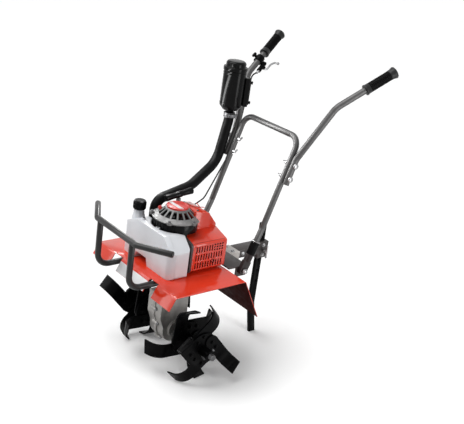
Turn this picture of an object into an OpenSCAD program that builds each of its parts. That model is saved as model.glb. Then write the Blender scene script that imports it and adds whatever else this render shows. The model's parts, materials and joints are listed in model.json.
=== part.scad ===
// Two-stroke power weeder: sheet deck, worm gear case, tined reels and a bolted handle frame.
// X runs forward, Y to the operator's left, Z up. The ground is at Z = 0.

/* [Deck] */
// Width of the deck across the machine
deck_w = 450; // [420:1:500]
// Length of the deck's flat top
deck_l = 280; // [260:1:310]
// Thickness of the deck's sheet
sheet_t = 3; // [2:0.5:4]
// Width of each of the two front flaps
front_flap_w = 100; // [80:1:110]
// Length of the front flaps
front_flap_l = 42; // [30:1:55]
// Slope of the front flaps below level
front_flap_slope = 61; // [45:1:75]
// Width of the middle flange between the bumper's uprights
middle_flange_w = 160; // [120:1:160]
// Length of the rear flap
rear_flap_l = 162; // [120:1:175]
// Slope of the rear flap below level
rear_flap_slope = 62; // [50:1:70]

/* [Tines] */
// Radius of the circle that the tine tips run on
tine_r = 141; // [132:1:150]
// Width of a blade
tine_w = 48; // [36:1:52]
// Thickness of a blade
tine_t = 5; // [4:0.5:7]
// Distance of a blade's middle line from the axle
tine_offset = 40; // [32:1:44]
// Inner radius of a blade's bend
tine_bend_r = 44; // [30:1:46]
// Angle of a blade's bend
tine_bend = 75; // [60:1:85]
// Length of a blade beyond its bend, on the long edge
tine_tip_l = 22; // [18:1:24]
// How much shorter the other edge is
tine_tip_cut = 9; // [5:1:12]
// Distance of the inner wheels from the middle plane
inner_wheel_y = 108; // [106:1:112]
// Distance of the outer wheels from the middle plane
outer_wheel_y = 195; // [190:1:202]
// Radius of a wheel's flange
flange_r = 61; // [57:1:62]
// Thickness of a wheel's flange
flange_t = 6; // [4:0.5:8]
// Diameter of a wheel's hub tube
hub_d = 36; // [32:1:42]
// Diameter of the tine shaft
shaft_d = 20; // [16:1:24]
// How far the shaft stands out of the outer hubs
shaft_end_l = 16; // [10:1:24]

/* [Gear case] */
// Height of the deck's top above the axle
axle_drop = 239; // [232:1:250]
// Distance of the axle behind the crankshaft
axle_back = 20; // [10:1:26]
// Radius of the gear case round the axle
case_r = 50; // [46:1:54]
// Width of each half of the gear case
case_half_w = 38; // [32:1:40]
// Height of the split case above the axle
case_h = 130; // [115:1:145]
// Reach of the case in front of the axle
case_front = 66; // [60:1:72]
// Reach of the case behind the axle
case_rear = 44; // [40:1:48]
// Width of the bolting rim round the case
case_rim = 6; // [4:0.5:8]
// Diameter of the drive tube above the case
drive_tube_d = 72; // [64:1:80]

/* [Bumper] */
// Diameter of the bumper's tubes
bumper_d = 20; // [16:1:24]
// Wall of all the tubes
tube_wall = 2; // [1.5:0.5:2.5]
// Reach of the bumper's bar in front of the deck
bumper_reach = 88; // [76:1:100]
// Height of the bar above the deck's top
bumper_h = 146; // [125:1:160]
// Distance of the uprights from the middle plane
upright_y = 92; // [91:1:96]
// Distance of the bar's bends from the middle plane
bumper_bend_y = 112; // [110:1:120]
// How far the bar's ends run outwards from the bends
bumper_end_out = 101; // [80:1:115]
// How far the bar's ends run back
bumper_end_back = 62; // [45:1:75]
// How far the bar's ends rise
bumper_end_up = 2; // [0:1:12]
// Bend radius of the uprights
upright_bend_r = 44; // [34:1:54]

/* [Engine] */
// Diameter of the clutch housing's foot
clutch_d = 88; // [80:1:89]
// Height of the clutch housing
clutch_h = 48; // [40:1:56]
// Height of the crankcase
crankcase_h = 52; // [44:1:60]
// Height of the fan housing
fan_h = 61; // [54:1:64]
// Diameter of the recoil cover's rim
recoil_d = 153; // [146:1:160]
// Height of the recoil cover's rim
recoil_rim_h = 5; // [4.5:0.5:8]
// Height of the recoil dome above its rim
recoil_dome_h = 29; // [26:1:34]
// Diameter of the cap on the recoil dome
cap_d = 72; // [64:1:76]
// Wall of the recoil cover
recoil_wall = 3; // [2.5:0.5:4]
// Number of air slots round the recoil dome
recoil_slots = 16; // [14:1:18]
// Distance of the cylinder cover's front behind the crankshaft
cover_front = 44; // [40:1:50]
// Length of the cylinder cover
cover_l = 90; // [80:1:96]
// Height of the cylinder cover's top above the deck
cover_h = 188; // [180:1:194]
// Reach of the cylinder cover towards the air intake
cover_right_w = 58; // [50:1:62]
// Distance of the joint between the two covers from the middle plane
cover_joint_y = 45; // [42:1:50]
// Reach of the muffler cover from the middle plane
muffler_cover_y = 112; // [106:1:116]
// Height of the muffler cover's foot above the deck
muffler_cover_lift = 8; // [4:1:14]
// Height of the muffler cover's outer top edge above its foot
muffler_cover_h = 98; // [90:1:104]
// Sheet of the muffler cover
muffler_cover_t = 2.5; // [2:0.25:3.5]

/* [Fuel tank] */
// Depth of the tank in front of the recoil starter
tank_depth = 16.5; // [14:0.5:22]
// Reach of the tank to the left
tank_left = 122; // [116:1:126]
// Reach of the tank to the right
tank_right = 152; // [144:1:158]
// Height of the tank
tank_h = 136; // [125:1:140]
// Diameter of the filler cap
fuel_cap_d = 44; // [36:1:48]
// Height of the filler cap
fuel_cap_h = 30; // [22:1:34]

/* [Handle] */
// Diameter of the lower frame's tube
frame_d = 20; // [18:1:22]
// Diameter of the upper handle tubes
handle_d = 22; // [20:1:25]
// Distance of the frame's legs from the middle plane
leg_y = 138; // [132:1:142]
// Distance of the arm bolts behind the deck's rear edge
arm_bolt_back = 58; // [52:1:66]
// Depth of the arm bolts below the deck's top
arm_bolt_drop = 9; // [8:1:12]
// Distance from an arm's bolt to the bend of its leg
arm_run = 155; // [145:1:170]
// Lean of the arms from upright
arm_lean = 22.8; // [20:0.1:26]
// Distance from the leg's bend to the crossbar
leg_run = 325; // [310:1:340]
// Lean of the legs from upright
leg_lean = 18.7; // [16:0.1:22]
// Bend radius between legs and crossbar
crossbar_bend_r = 40; // [32:1:50]
// How far the handles rise from the lap joint to their upper bend
handle_rise = 188; // [170:1:205]
// How far the handles spread over that rise
handle_spread = 62; // [50:1:75]
// How far the handles run back over that rise
handle_back = 77; // [65:1:90]
// How far the handle ends run back
end_back = 184; // [165:1:200]
// How far the handle ends spread
end_spread = 60; // [50:1:70]
// How far the handle ends rise
end_rise = 128; // [115:1:140]
// Length of a grip
grip_l = 120; // [105:1:130]
// Diameter of a grip
grip_d = 33; // [30:1:36]

/* [Air cleaner] */
// Diameter of the air cleaner's body
air_d = 80; // [72:1:88]
// Height of the air cleaner's body
air_h = 138; // [120:1:150]
// Height of the air cleaner's lid
air_lid_h = 34; // [28:1:40]
// Diameter of the intake hose
hose_d = 35; // [28:1:38]

/* [Stake] */
// Width of the stake's bar
stake_w = 28; // [24:1:32]
// Thickness of the stake's bar
stake_t = 10; // [8:1:12]
// Height of the stake's top above the deck
stake_top = 80; // [70:1:90]
// Length of the stake's bent foot
stake_foot_l = 130; // [120:1:140]
// Lean of the stake's foot
stake_foot_lean = 11; // [6:1:14]
// Distance between the stake's holes
stake_pitch = 43; // [38:1:46]
// Diameter of the stake's holes
stake_hole_d = 11; // [9:0.5:12]
// Distance of the stake behind the deck's rear edge
stake_back = 256; // [246:1:270]

/* [Hidden] */
$fn = 64;
// How far a cut runs past the face that it opens
overrun = 1;
// Radial clearance of a turning shaft in its bore
running_gap = 0.05;
// Clearance of the stake in its holder, on each side
sliding_gap = 0.3;
// Worked-out places are rounded to this step
place_step = 0.01;
function placed(v) = round(v / place_step) * place_step;
// How much thinner a tube is in its bends, and how far its straight runs reach into them
bend_thin = 0.1;
bend_lap = 0.5;
// How deep a welded sheet or blade is let into what carries it
weld_seat = 0.5;
// Clearance between pieces that are clamped or laid together, and between neighbouring covers
seat_gap = 0.05;
cover_gap = 1;
// A direction counts as upright when this share of it points up
upright_share = 0.9;

// Tine geometry
blades = 4;
wheel_turn = 360 / blades;
tip_step = wheel_turn / 2;
tip_v = tine_offset + tine_w / 2;
tip_u = sqrt(tine_r * tine_r - tip_v * tip_v);
tip_angle = atan2(tip_v, tip_u);
bend_out_r = tine_bend_r + tine_t;
blade_u = tip_u - bend_out_r * sin(tine_bend) - (tine_tip_l - tine_tip_cut) * cos(tine_bend);

// Levels: the two lowest tips of each reel stand on the ground half a step to each side
axle_z = placed(tine_r * cos(tip_step / 2));
deck_z = axle_z + axle_drop;

// The handle ends and the bumper set the length, and X = 0 is midway between them
leg_dir = [-sin(leg_lean), 0, cos(leg_lean)];
arm_dir = [-sin(arm_lean), 0, cos(arm_lean)];
lap_share = 0.79;
lap_l = 90;
end_run = [-end_back, end_spread, end_rise];
end_dir = end_run / norm(end_run);
grip_flange_rim = 4;
grip_flange_d = grip_d + 2 * grip_flange_rim;
grip_inner_rim = 2;
grip_inner_d = grip_d + 2 * grip_inner_rim;
rear_reach = deck_l / 2 + arm_bolt_back + arm_run * sin(arm_lean) + leg_run * lap_share * sin(leg_lean)
    + handle_back + end_back + grip_flange_d / 2 * sqrt(1 - end_dir[0] * end_dir[0]);
front_reach = deck_l / 2 + bumper_reach + bumper_d / 2;
deck_x = placed((rear_reach - front_reach) / 2);
deck_front = deck_x + deck_l / 2;
deck_rear = deck_x - deck_l / 2;
crank_x = deck_x;
axle_x = crank_x - axle_back;

// Engine levels
crankcase_z = deck_z + clutch_h;
fan_z = crankcase_z + crankcase_h;
recoil_z = fan_z + fan_h;
dome_z = recoil_z + recoil_rim_h;
cap_z = dome_z + recoil_dome_h;
cap_h = 7;
fan_wall = 4;
fan_d = recoil_d - fan_wall;
cover_x = crank_x - cover_front;
crankcase_front = 44;
crankcase_left = 40;
crankcase_right = 50;
clutch_neck_d = 80;
clutch_foot_h = 8;

// Recoil dome: radii of its shoulder, and the slots' reach in shares of the dome's radius
recoil_r = recoil_d / 2;
shoulder_share = 0.86;
slot_inner_share = 0.52;
slot_outer_share = 0.79;
slot_rib = 5.6;
recoil_lip = 3.5;
recoil_lip_h = 4;
shoulder_rise_share = 0.12;
eyelet_d = 16;
eyelet_turn = 232;
eyelet_share = 0.82;
grip_lift = 20;
recoil_grip_d = 23;
recoil_grip_l = 86;
recoil_grip_tilt = 8;

// Muffler and its cover's grille
muffler_cover_front = 5;
muffler_cover_rise = 20;
muffler_gap = 9;
cover_corner_r = 10;
grille_columns = 11;
grille_rows = 3;
grille_slot_w = 5;
grille_slot_l = 22;
grille_pitch = 10.5;
grille_row_pitch = 28;
grille_hole_columns = 4;
grille_hole_rows = 3;
grille_hole_d = 7;
hole_step_share = 1.3;
shield_t = 8;
shield_lip = 2;

// Tank outline in shares of its own reach and height, from below right round to the left
tank_corner_r = 12;
tank_gap = 5;
tank_front = recoil_d / 2 + tank_gap + tank_depth;
tank_rear = 20;
tank_right_rear = 48;
tank_neck_d = 34;
tank_neck_l = 40;
tank_neck_x = 70;
tank_neck_y = 112;
tank_shoulder_d = 46;
tank_shoulder_h = 16;
tank_plan_r = 26;
tank_boss_d = 13;
tank_boss_h = 5;
tank_bosses = [[18, -67], [18, 13]];

// Carburettor and intake
carb_forward = 18;
carb_x = crank_x + carb_forward;
carb_y = -98;
carb_w = 52;
carb_h = 48;
carb_lift = 50;
carb_z = deck_z + carb_lift;
carb_d = 40;

// Handle frame: the right side is the left one mirrored
arm_bolt = [deck_rear - arm_bolt_back, leg_y, deck_z - arm_bolt_drop];
leg_bend = arm_bolt + arm_run * arm_dir;
leg_bend_r = 90;
crossbar = leg_bend + leg_run * leg_dir;
arm_sleeve_wall = 3.5;
arm_sleeve_d = frame_d + 2 * arm_sleeve_wall;
arm_eye_d = 32;
arm_sleeve_from = 34;
arm_t = 14;
arm_l = 106;
leg_gap = 40;
lap_y = frame_d / 2 + handle_d / 2 + 2 * seat_gap;
lap_top = leg_bend + leg_run * lap_share * leg_dir + [0, lap_y, 0];
lap_low = lap_top - lap_l * leg_dir;
handle_bend = lap_top + [-handle_back, handle_spread, handle_rise];
handle_end = handle_bend + end_run;
lap_bend_r = 60;
handle_bend_r = 60;
grip_flange_l = 5;
clamp_d = 8;
clamp_head_d = 15;
clamp_head_l = 6;
clamp_nut_d = 13;
clamp_nut_l = 12;

// Rear bracket, hitch and stake holder
bracket_t = 5;
bracket_seat = 46;
bracket_ear_l = 46;
bracket_ear_h = 34;
bracket_tongue_w = 100;
bracket_gap = 3;
hitch_block_l = 92;
hitch_block_w = 64;
hitch_block_rear = 54;
hitch_w = 50;
hitch_h = 30;
hitch_t = 4;
holder_l = 46;
holder_w = 36;
holder_h = 62;
holder_up = 10;
screw_d = 10;
screw_l = 34;
screw_bar_d = 7;
screw_bar_l = 46;
stake_x = deck_rear - stake_back;
stake_holes = 6;
stake_hole_top = 16;

// Air cleaner on the right handle
air_back = 50;
air_x = leg_bend[0] - air_back;
air_y = -165;
air_lift = 455;
air_z = deck_z + air_lift;
air_lid_rim = 2;
air_lid_d = air_d + 2 * air_lid_rim;
hose_wall = 4;
air_outlet_d = hose_d - 2 * hose_wall;
air_outlet_l = 10;
air_foot_h = 16;
air_foot_d = 54;
air_lid_rim_h = 14;
air_lid_top_d = 69;
air_lid_taper = 6;
air_bracket_t = 8;
air_bracket_h = 40;
air_bracket_lift = 46;
hose_clamp_t = 2.5;
hose_clamp_d = hose_d + 2 * hose_clamp_t;
hose_clamp_l = 16;
hose_top = [air_x, air_y, air_z - air_outlet_l];
hose_foot = [carb_x, carb_y, carb_z + carb_h + seat_gap];
// Corners of the hose in shares of the way from its top to its foot, and their bend radii
hose_shares = [[0, 0, 0.08], [0.11, 0.12, 0.502], [0.515, 0.66, 0.686], [1, 1, 0.756]];
hose_bends = [60, 90, 150, 38];

// Throttle on the right handle
throttle_wall = 5;
throttle_d = handle_d + 2 * throttle_wall;
throttle_l = 24;
throttle_gap = 22;
lever_d = 7;
lever_boss_d = 14;
lever_body_d = 16;
lever_out = 24;
lever_body = [6, -38];
lever_body_tail = 8;
lever_root = [-12, 36];
// Points of the lever, along the handle and out from it, and its bend radii
lever_rows = [lever_root + [0, seat_gap], [-12, 44], [20, 44], [38, 51], [47, 63]];
lever_bends = [7, 30, 12];
lever_side_shares = [-0.3, 0.6, -0.75];
cable_d = 5;
cable_gap = 0.7;
cable_bend_gap = 7;
cable_end_gap = 0.9;
cable_bend_r = 30;

// Helpers

function unit(v) = v / norm(v);
function flip_y(v) = [v[0], -v[1], v[2]];

// Places children with their own X and Z along the given directions
module turned(o, x, z) {
    y = cross(z, x);
    multmatrix([
        [x[0], y[0], z[0], o[0]],
        [x[1], y[1], z[1], o[1]],
        [x[2], y[2], z[2], o[2]],
        [0, 0, 0, 1]
    ]) children();
}

// Places children with their own Z along d
module along(o, d) {
    z = unit(d);
    side = abs(z[2]) < upright_share ? [0, 0, 1] : [0, 1, 0];
    turned(o, unit(cross(side, z)), z) children();
}

// Round rod from a to b
module rod(a, b, d) {
    along(a, b - a) cylinder(d = d, h = norm(b - a));
}

// Direction of the path that leads away from point i, and the turn at point i
function leg(p, i) = unit(p[i + 1] - p[i]);
function turn(p, i) = acos(leg(p, i - 1) * leg(p, i));
// Length that the bend takes from each side of point i
function trim(p, r, i) = i == 0 || i == len(p) - 1 ? 0 : r[i - 1] * tan(turn(p, i) / 2);

// Round rod along the points p, with the bend radii r at its inner points
module bent_rod(p, r, d) {
    last = len(p) - 1;
    for (i = [0 : last - 1]) {
        from = i == 0 ? 0 : trim(p, r, i) - bend_lap;
        to = i == last - 1 ? 0 : trim(p, r, i + 1) - bend_lap;
        rod(p[i] + leg(p, i) * from, p[i + 1] - leg(p, i) * to, d);
    }
    for (i = [1 : last - 1]) {
        before = leg(p, i - 1);
        after = leg(p, i);
        inward = unit(after - before * (after * before));
        centre = p[i] - before * trim(p, r, i) + inward * r[i - 1];
        turned(centre, -inward, cross(-inward, before))
            rotate_extrude(angle = turn(p, i))
                translate([r[i - 1], 0])
                    circle(d = d - bend_thin);
    }
}

// The same points with both ends moved outwards
function stretched(p, by) = let (last = len(p) - 1) [
    for (i = [0 : last])
        i == 0 ? p[0] - by * leg(p, 0) : i == last ? p[last] + by * leg(p, last - 1) : p[i]
];

// Open tube along the points p
module bent_tube(p, r, d, wall) {
    difference() {
        bent_rod(p, r, d);
        bent_rod(stretched(p, overrun), r, d - 2 * wall);
    }
}

// Outline from rows of [x, y, corner radius], given counter-clockwise
module rounded(rows) {
    n = len(rows);
    function at(i) = [rows[(i + n) % n][0], rows[(i + n) % n][1]];
    function back(i) = unit(at(i - 1) - at(i));
    function ahead(i) = unit(at(i + 1) - at(i));
    function half(i) = acos(back(i) * ahead(i)) / 2;
    function cut(i) = rows[i][2] / tan(half(i));
    function centre(i) = at(i) + unit(back(i) + ahead(i)) * rows[i][2] / sin(half(i));
    function convex(i) = cross(back(i), ahead(i)) < 0;
    difference() {
        union() {
            polygon([
                for (i = [0 : n - 1])
                    each rows[i][2] > 0 ? [at(i) + back(i) * cut(i), at(i) + ahead(i) * cut(i)] : [at(i)]
            ]);
            for (i = [0 : n - 1]) {
                if (rows[i][2] > 0 && convex(i)) {
                    translate(centre(i)) circle(r = rows[i][2]);
                }
            }
        }
        for (i = [0 : n - 1]) {
            if (rows[i][2] > 0 && !convex(i)) {
                translate(centre(i)) circle(r = rows[i][2]);
            }
        }
    }
}

// Stands an outline drawn in X and Z on edge, from y0 to the left over the width w
module across(y0, w) {
    translate([0, y0 + w, 0]) rotate([90, 0, 0]) linear_extrude(height = w) children();
}

// Stands an outline drawn in Y and Z on edge, from x0 forwards over the length l
module lengthwise(x0, l) {
    translate([x0, 0, 0]) rotate([90, 0, 90]) linear_extrude(height = l) children();
}

module mirrored() {
    mirror([0, 1, 0]) children();
}

// Deck

fold_r = 4;
fold_steps = 6;
fold_lap = 8;

// Flap of sheet that folds down, with the fold's outer faces meeting above the origin
module flap(l, slope) {
    start = (fold_r + sheet_t) * tan(slope / 2);
    function arc(r, a) = [-start, -fold_r] + r * [sin(a), cos(a)];
    run = l * [cos(slope), -sin(slope)];
    outer_r = fold_r + sheet_t;
    polygon([
        [-start - fold_lap, 0],
        for (i = [0 : fold_steps]) arc(fold_r, slope * i / fold_steps),
        arc(fold_r, slope) + run,
        arc(outer_r, slope) + run,
        for (i = [fold_steps : -1 : 0]) arc(outer_r, slope * i / fold_steps),
        [-start - fold_lap, sheet_t]
    ]);
}

module deck() {
    start = fold_r + sheet_t;
    color("orangered") union() {
        translate([deck_rear + start, -deck_w / 2, deck_z - sheet_t])
            cube([deck_l - 2 * start, deck_w, sheet_t]);
        across(-deck_w / 2, deck_w)
            translate([deck_rear, deck_z - sheet_t]) mirror([1, 0]) flap(rear_flap_l, rear_flap_slope);
        for (y0 = [-deck_w / 2, deck_w / 2 - front_flap_w]) {
            across(y0, front_flap_w)
                translate([deck_front, deck_z - sheet_t]) flap(front_flap_l, front_flap_slope);
        }
        across(-middle_flange_w / 2, middle_flange_w)
            translate([deck_front, deck_z - sheet_t]) flap(front_flap_l, front_flap_slope);
    }
}

// Bumper

bumper_x = deck_front + bumper_reach;
bumper_z = deck_z + bumper_h;
bumper_end = [bumper_x - bumper_end_back, bumper_bend_y + bumper_end_out, bumper_z + bumper_end_up];
bumper_path = [
    bumper_end,
    [bumper_x, bumper_bend_y, bumper_z],
    [bumper_x, -bumper_bend_y, bumper_z],
    flip_y(bumper_end)
];
bumper_bends = [upright_bend_r / 2, upright_bend_r / 2];
upright_root = 90;
upright_z = deck_z - sheet_t - bumper_d / 2 - seat_gap;
upright_path = [
    [deck_front - upright_root, upright_y, upright_z],
    [bumper_x, upright_y, upright_z],
    [bumper_x, upright_y, bumper_z]
];

module bumper_bar() {
    color("dimgray") bent_tube(bumper_path, bumper_bends, bumper_d, tube_wall);
}

module bumper_upright_left() {
    color("dimgray") difference() {
        bent_tube(upright_path, [upright_bend_r], bumper_d, tube_wall);
        rod(bumper_path[1], bumper_path[2], bumper_d);
    }
}

module bumper_upright_right() {
    mirrored() bumper_upright_left();
}

// Gear case and drive

drive_flange_d = clutch_d;
drive_flange_h = 10;
case_corner_r = 12;
case_shoulder_shares = [0.92, 0.96];
case_waist = 50;
case_rim_t = 7;
boss_d = 62;
boss_l = 10;

// Outline of the split case, seen from the left, grown all round
module case_outline(grow) {
    circle(r = case_r + grow);
    rounded([
        [case_r * case_shoulder_shares[0], 0, 0],
        [case_front + grow, case_waist, case_corner_r],
        [case_front + grow, case_h, 0],
        [-case_rear - grow, case_h, 0],
        [-case_r * case_shoulder_shares[1] - grow, 0, 0]
    ]);
}

module gear_case_left() {
    color("lightgray") difference() {
        translate([axle_x, 0, axle_z]) {
            across(0, case_half_w) case_outline(0);
            across(0, case_rim_t) case_outline(case_rim);
            translate([0, case_half_w, 0]) rotate([-90, 0, 0]) cylinder(d = boss_d, h = boss_l);
        }
        shaft_bore();
    }
}

module shaft_bore() {
    reach = case_half_w + boss_l + overrun;
    translate([axle_x, -overrun, axle_z])
        rotate([-90, 0, 0])
            cylinder(d = shaft_d + 2 * running_gap, h = reach + overrun);
}

module gear_case_right() {
    mirrored() gear_case_left();
}

module drive_tube() {
    foot_z = axle_z + case_h;
    head_z = deck_z - sheet_t;
    color("silver") translate([crank_x, 0, 0]) {
        translate([0, 0, foot_z]) cylinder(d = drive_tube_d, h = head_z - foot_z);
        translate([0, 0, head_z - drive_flange_h]) cylinder(d = drive_flange_d, h = drive_flange_h);
    }
}

// Tines

shaft_half = outer_wheel_y + (outer_wheel_y - inner_wheel_y) / 2 + shaft_end_l;
hub_l = outer_wheel_y - inner_wheel_y;

module tine_shaft() {
    color("gray")
        translate([axle_x, -shaft_half, axle_z])
            rotate([-90, 0, 0])
                cylinder(d = shaft_d, h = 2 * shaft_half);
}

// Blade that leaves its flange along X, with its flat at Y = 0, and bends towards +Y
module blade() {
    across(0, tine_t) {
        translate([0, -tip_v]) square([blade_u, tine_w]);
        translate([0, -tine_offset]) circle(d = tine_w - 2 * bend_lap);
    }
    translate([blade_u, bend_out_r, -tip_v]) {
        rotate(-90)
            rotate_extrude(angle = tine_bend)
                translate([tine_bend_r, 0])
                    square([tine_t, tine_w]);
        rotate(tine_bend)
            translate([0, -bend_out_r, 0])
                across(bend_thin / 2, tine_t - bend_thin)
                    polygon([
                        [-bend_lap, 0],
                        [tine_tip_l - tine_tip_cut, 0],
                        [tine_tip_l, tine_w],
                        [-bend_lap, tine_w]
                    ]);
    }
}

// Wheel of a hub, a flange and blades that bend by turns to the two sides.
// The first blade's tip stands at first_tip from straight down, towards the front.
module tine_wheel(y, first_tip, first_side) {
    translate([axle_x, y, axle_z]) difference() {
        union() {
            rotate([90, 0, 0]) cylinder(d = hub_d, h = hub_l, center = true);
            rotate([90, 0, 0]) cylinder(r = flange_r, h = flange_t, center = true);
            for (k = [0 : blades - 1]) {
                side = first_side * (k % 2 == 0 ? 1 : -1);
                rotate([0, 90 - first_tip - tip_angle - k * wheel_turn, 0])
                    mirror([0, side < 0 ? 1 : 0, 0])
                        translate([0, flange_t / 2 - weld_seat, 0])
                            blade();
            }
        }
        rotate([90, 0, 0]) cylinder(d = shaft_d, h = hub_l + 2 * overrun, center = true);
    }
}

module tine_wheel_left_inner() {
    color("black") tine_wheel(inner_wheel_y, -tip_step / 2, 1);
}

module tine_wheel_left_outer() {
    color("black") tine_wheel(outer_wheel_y, tip_step / 2, -1);
}

module tine_wheel_right_inner() {
    mirrored() tine_wheel_left_inner();
}

module tine_wheel_right_outer() {
    mirrored() tine_wheel_left_outer();
}

// Engine

module clutch_housing() {
    color("gray") translate([crank_x, 0, deck_z]) {
        cylinder(d = clutch_d, h = clutch_foot_h);
        translate([0, 0, clutch_foot_h])
            cylinder(d1 = clutch_d - 2 * clutch_foot_h, d2 = clutch_neck_d, h = clutch_h - clutch_foot_h);
    }
}

module crankcase() {
    color("dimgray")
        translate([cover_x, -crankcase_right, crankcase_z])
            cube([cover_front + crankcase_front, crankcase_right + crankcase_left, crankcase_h]);
}

// Keeps what lies in front of the cylinder cover
module in_front_of_cover() {
    intersection() {
        children();
        translate([cover_x, -recoil_d, deck_z]) cube([2 * recoil_d, 2 * recoil_d, 2 * cap_z]);
    }
}

module fan_housing() {
    color("darkslategray") in_front_of_cover() difference() {
        translate([crank_x, 0, fan_z]) cylinder(d = fan_d, h = fan_h);
        translate([cover_x - overrun, cover_joint_y - cover_gap, deck_z])
            cube([cover_front + overrun + muffler_cover_front + cover_gap, recoil_d,
                muffler_cover_lift + muffler_cover_h + muffler_cover_rise + cover_gap]);
    }
}

// Half section of the recoil dome, grown inwards by inset
module dome_section(inset) {
    r = recoil_r - inset;
    top = recoil_rim_h + recoil_dome_h - inset;
    polygon([
        [0, 0],
        [r, 0],
        [r, recoil_rim_h - inset],
        [r * shoulder_share, recoil_rim_h + recoil_dome_h * shoulder_rise_share - inset],
        [cap_d / 2, top],
        [0, top]
    ]);
}

// Window between two ribs of the dome, wider towards the rim
module recoil_window() {
    inner = recoil_r * slot_inner_share;
    outer = recoil_r * slot_outer_share;
    half_pitch = tan(180 / recoil_slots);
    polygon([
        [inner, -inner * half_pitch + slot_rib / 2],
        [outer, -outer * half_pitch + slot_rib / 2],
        [outer, outer * half_pitch - slot_rib / 2],
        [inner, inner * half_pitch - slot_rib / 2]
    ]);
}

module recoil_cover() {
    grip_below = (recoil_grip_d / 2 + eyelet_d / 2 * sin(recoil_grip_tilt)) / cos(recoil_grip_tilt);
    color("gray") in_front_of_cover() translate([crank_x, 0, recoil_z]) {
        difference() {
            rotate_extrude() dome_section(0);
            translate([0, 0, -overrun]) rotate_extrude() dome_section(recoil_wall);
            for (k = [0 : recoil_slots - 1]) {
                rotate(360 / recoil_slots * k)
                    translate([0, 0, recoil_rim_h])
                        linear_extrude(recoil_dome_h + overrun) recoil_window();
            }
        }
        difference() {
            cylinder(d = recoil_d + 2 * recoil_lip, h = recoil_lip_h);
            translate([0, 0, -overrun])
                cylinder(r = recoil_r - recoil_wall, h = recoil_lip_h + 2 * overrun);
        }
        rotate(eyelet_turn)
            translate([recoil_r * eyelet_share, 0, recoil_rim_h])
                cylinder(d = eyelet_d, h = recoil_dome_h + grip_lift - grip_below - seat_gap);
    }
}

module recoil_cap() {
    color("red") in_front_of_cover()
        translate([crank_x, 0, cap_z]) cylinder(d = cap_d, h = cap_h);
}

module recoil_grip() {
    foot = [crank_x, 0, cap_z + grip_lift]
        + recoil_r * eyelet_share * [cos(eyelet_turn), sin(eyelet_turn), 0];
    color("black") translate(foot) rotate([0, 90 + recoil_grip_tilt, 0]) {
        cylinder(d = recoil_grip_d, h = recoil_grip_l, center = true);
        for (end = [-1, 1]) {
            translate([0, 0, end * recoil_grip_l / 2]) sphere(d = recoil_grip_d);
        }
    }
}

// Outline of the cylinder cover, seen from the left, from its front face backwards
cover_foot = 40;
cover_shoulder_share = 0.6;
cover_rear_drop_share = 0.36;

module cylinder_cover() {
    foot = deck_z + cover_foot;
    top = deck_z + cover_h;
    rear = cover_x - cover_l;
    color("red") across(-cover_right_w, cover_right_w + cover_joint_y)
        rounded([
            [cover_x, foot, 0],
            [cover_x, top, 0],
            [cover_x - cover_l * cover_shoulder_share, top - cover_corner_r, cover_corner_r],
            [rear, top - (cover_h - cover_foot) * cover_rear_drop_share, cover_corner_r],
            [rear, foot, cover_corner_r]
        ]);
}

muffler_cover_z = deck_z + muffler_cover_lift;
muffler_cover_x = crank_x + muffler_cover_front;
muffler_cover_l = muffler_cover_front + cover_front + cover_l;

// Section of the muffler cover, seen from the rear, grown inwards by inset
module muffler_cover_section(inset) {
    rounded([
        [cover_joint_y, muffler_cover_z + inset, 0],
        [muffler_cover_y - inset, muffler_cover_z + inset, cover_corner_r - inset],
        [muffler_cover_y - inset, muffler_cover_z + muffler_cover_h - inset, cover_corner_r - inset],
        [cover_joint_y, muffler_cover_z + muffler_cover_h + muffler_cover_rise - inset, 0]
    ]);
}

module grille_slot() {
    run = grille_slot_l - grille_slot_w;
    translate([-grille_slot_w / 2, -run / 2]) square([grille_slot_w, run]);
    for (end = [-1, 1]) {
        translate([0, end * run / 2]) circle(d = grille_slot_w);
    }
}

module muffler_cover() {
    rear = muffler_cover_x - muffler_cover_l;
    mid_x = rear + muffler_cover_l / 2;
    mid_z = muffler_cover_z + muffler_cover_h / 2;
    color("red") difference() {
        lengthwise(rear, muffler_cover_l) muffler_cover_section(0);
        lengthwise(rear + muffler_cover_t, muffler_cover_l - 2 * muffler_cover_t)
            muffler_cover_section(muffler_cover_t);
        across(muffler_cover_y - 2 * muffler_cover_t, 3 * muffler_cover_t)
            translate([
                mid_x - (grille_columns - 1) / 2 * grille_pitch,
                mid_z - (grille_rows - 1) / 2 * grille_row_pitch
            ]) grille();
    }
}

// Rows of slots, with round holes in place of the upper rear ones
module grille() {
    top = (grille_rows - 1) * grille_row_pitch;
    for (i = [0 : grille_columns - 1], j = [0 : grille_rows - 1]) {
        if (i >= grille_hole_columns || j < grille_rows - 1) {
            translate([i * grille_pitch, j * grille_row_pitch]) grille_slot();
        }
    }
    hole_step = grille_hole_d * hole_step_share;
    for (i = [0 : grille_hole_columns - 1], k = [0 : grille_hole_rows - 1]) {
        translate([i * grille_pitch, top + (k - (grille_hole_rows - 1) / 2) * hole_step])
            circle(d = grille_hole_d);
    }
}

module muffler() {
    x0 = cover_x - cover_l + muffler_gap;
    color("darkgray")
        translate([x0, cover_joint_y, muffler_cover_z + muffler_gap])
            cube([
                muffler_cover_l - 2 * muffler_gap,
                muffler_cover_y - cover_joint_y - muffler_gap,
                muffler_cover_h - 2 * muffler_gap
            ]);
}

module heat_shield() {
    color("darkslategray") difference() {
        lengthwise(muffler_cover_x, shield_t) muffler_cover_section(-shield_lip);
        translate([crank_x, 0, fan_z - cover_gap])
            cylinder(d = fan_d + 2 * cover_gap, h = fan_h);
    }
}

// Fuel tank

tank_floor_step = 26;
tank_notch_shares = [0.5, 0.45, 0.06];
tank_top_shares = [0.6, 0.54];
tank_side_shares = [0.66, 0.76];

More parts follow.
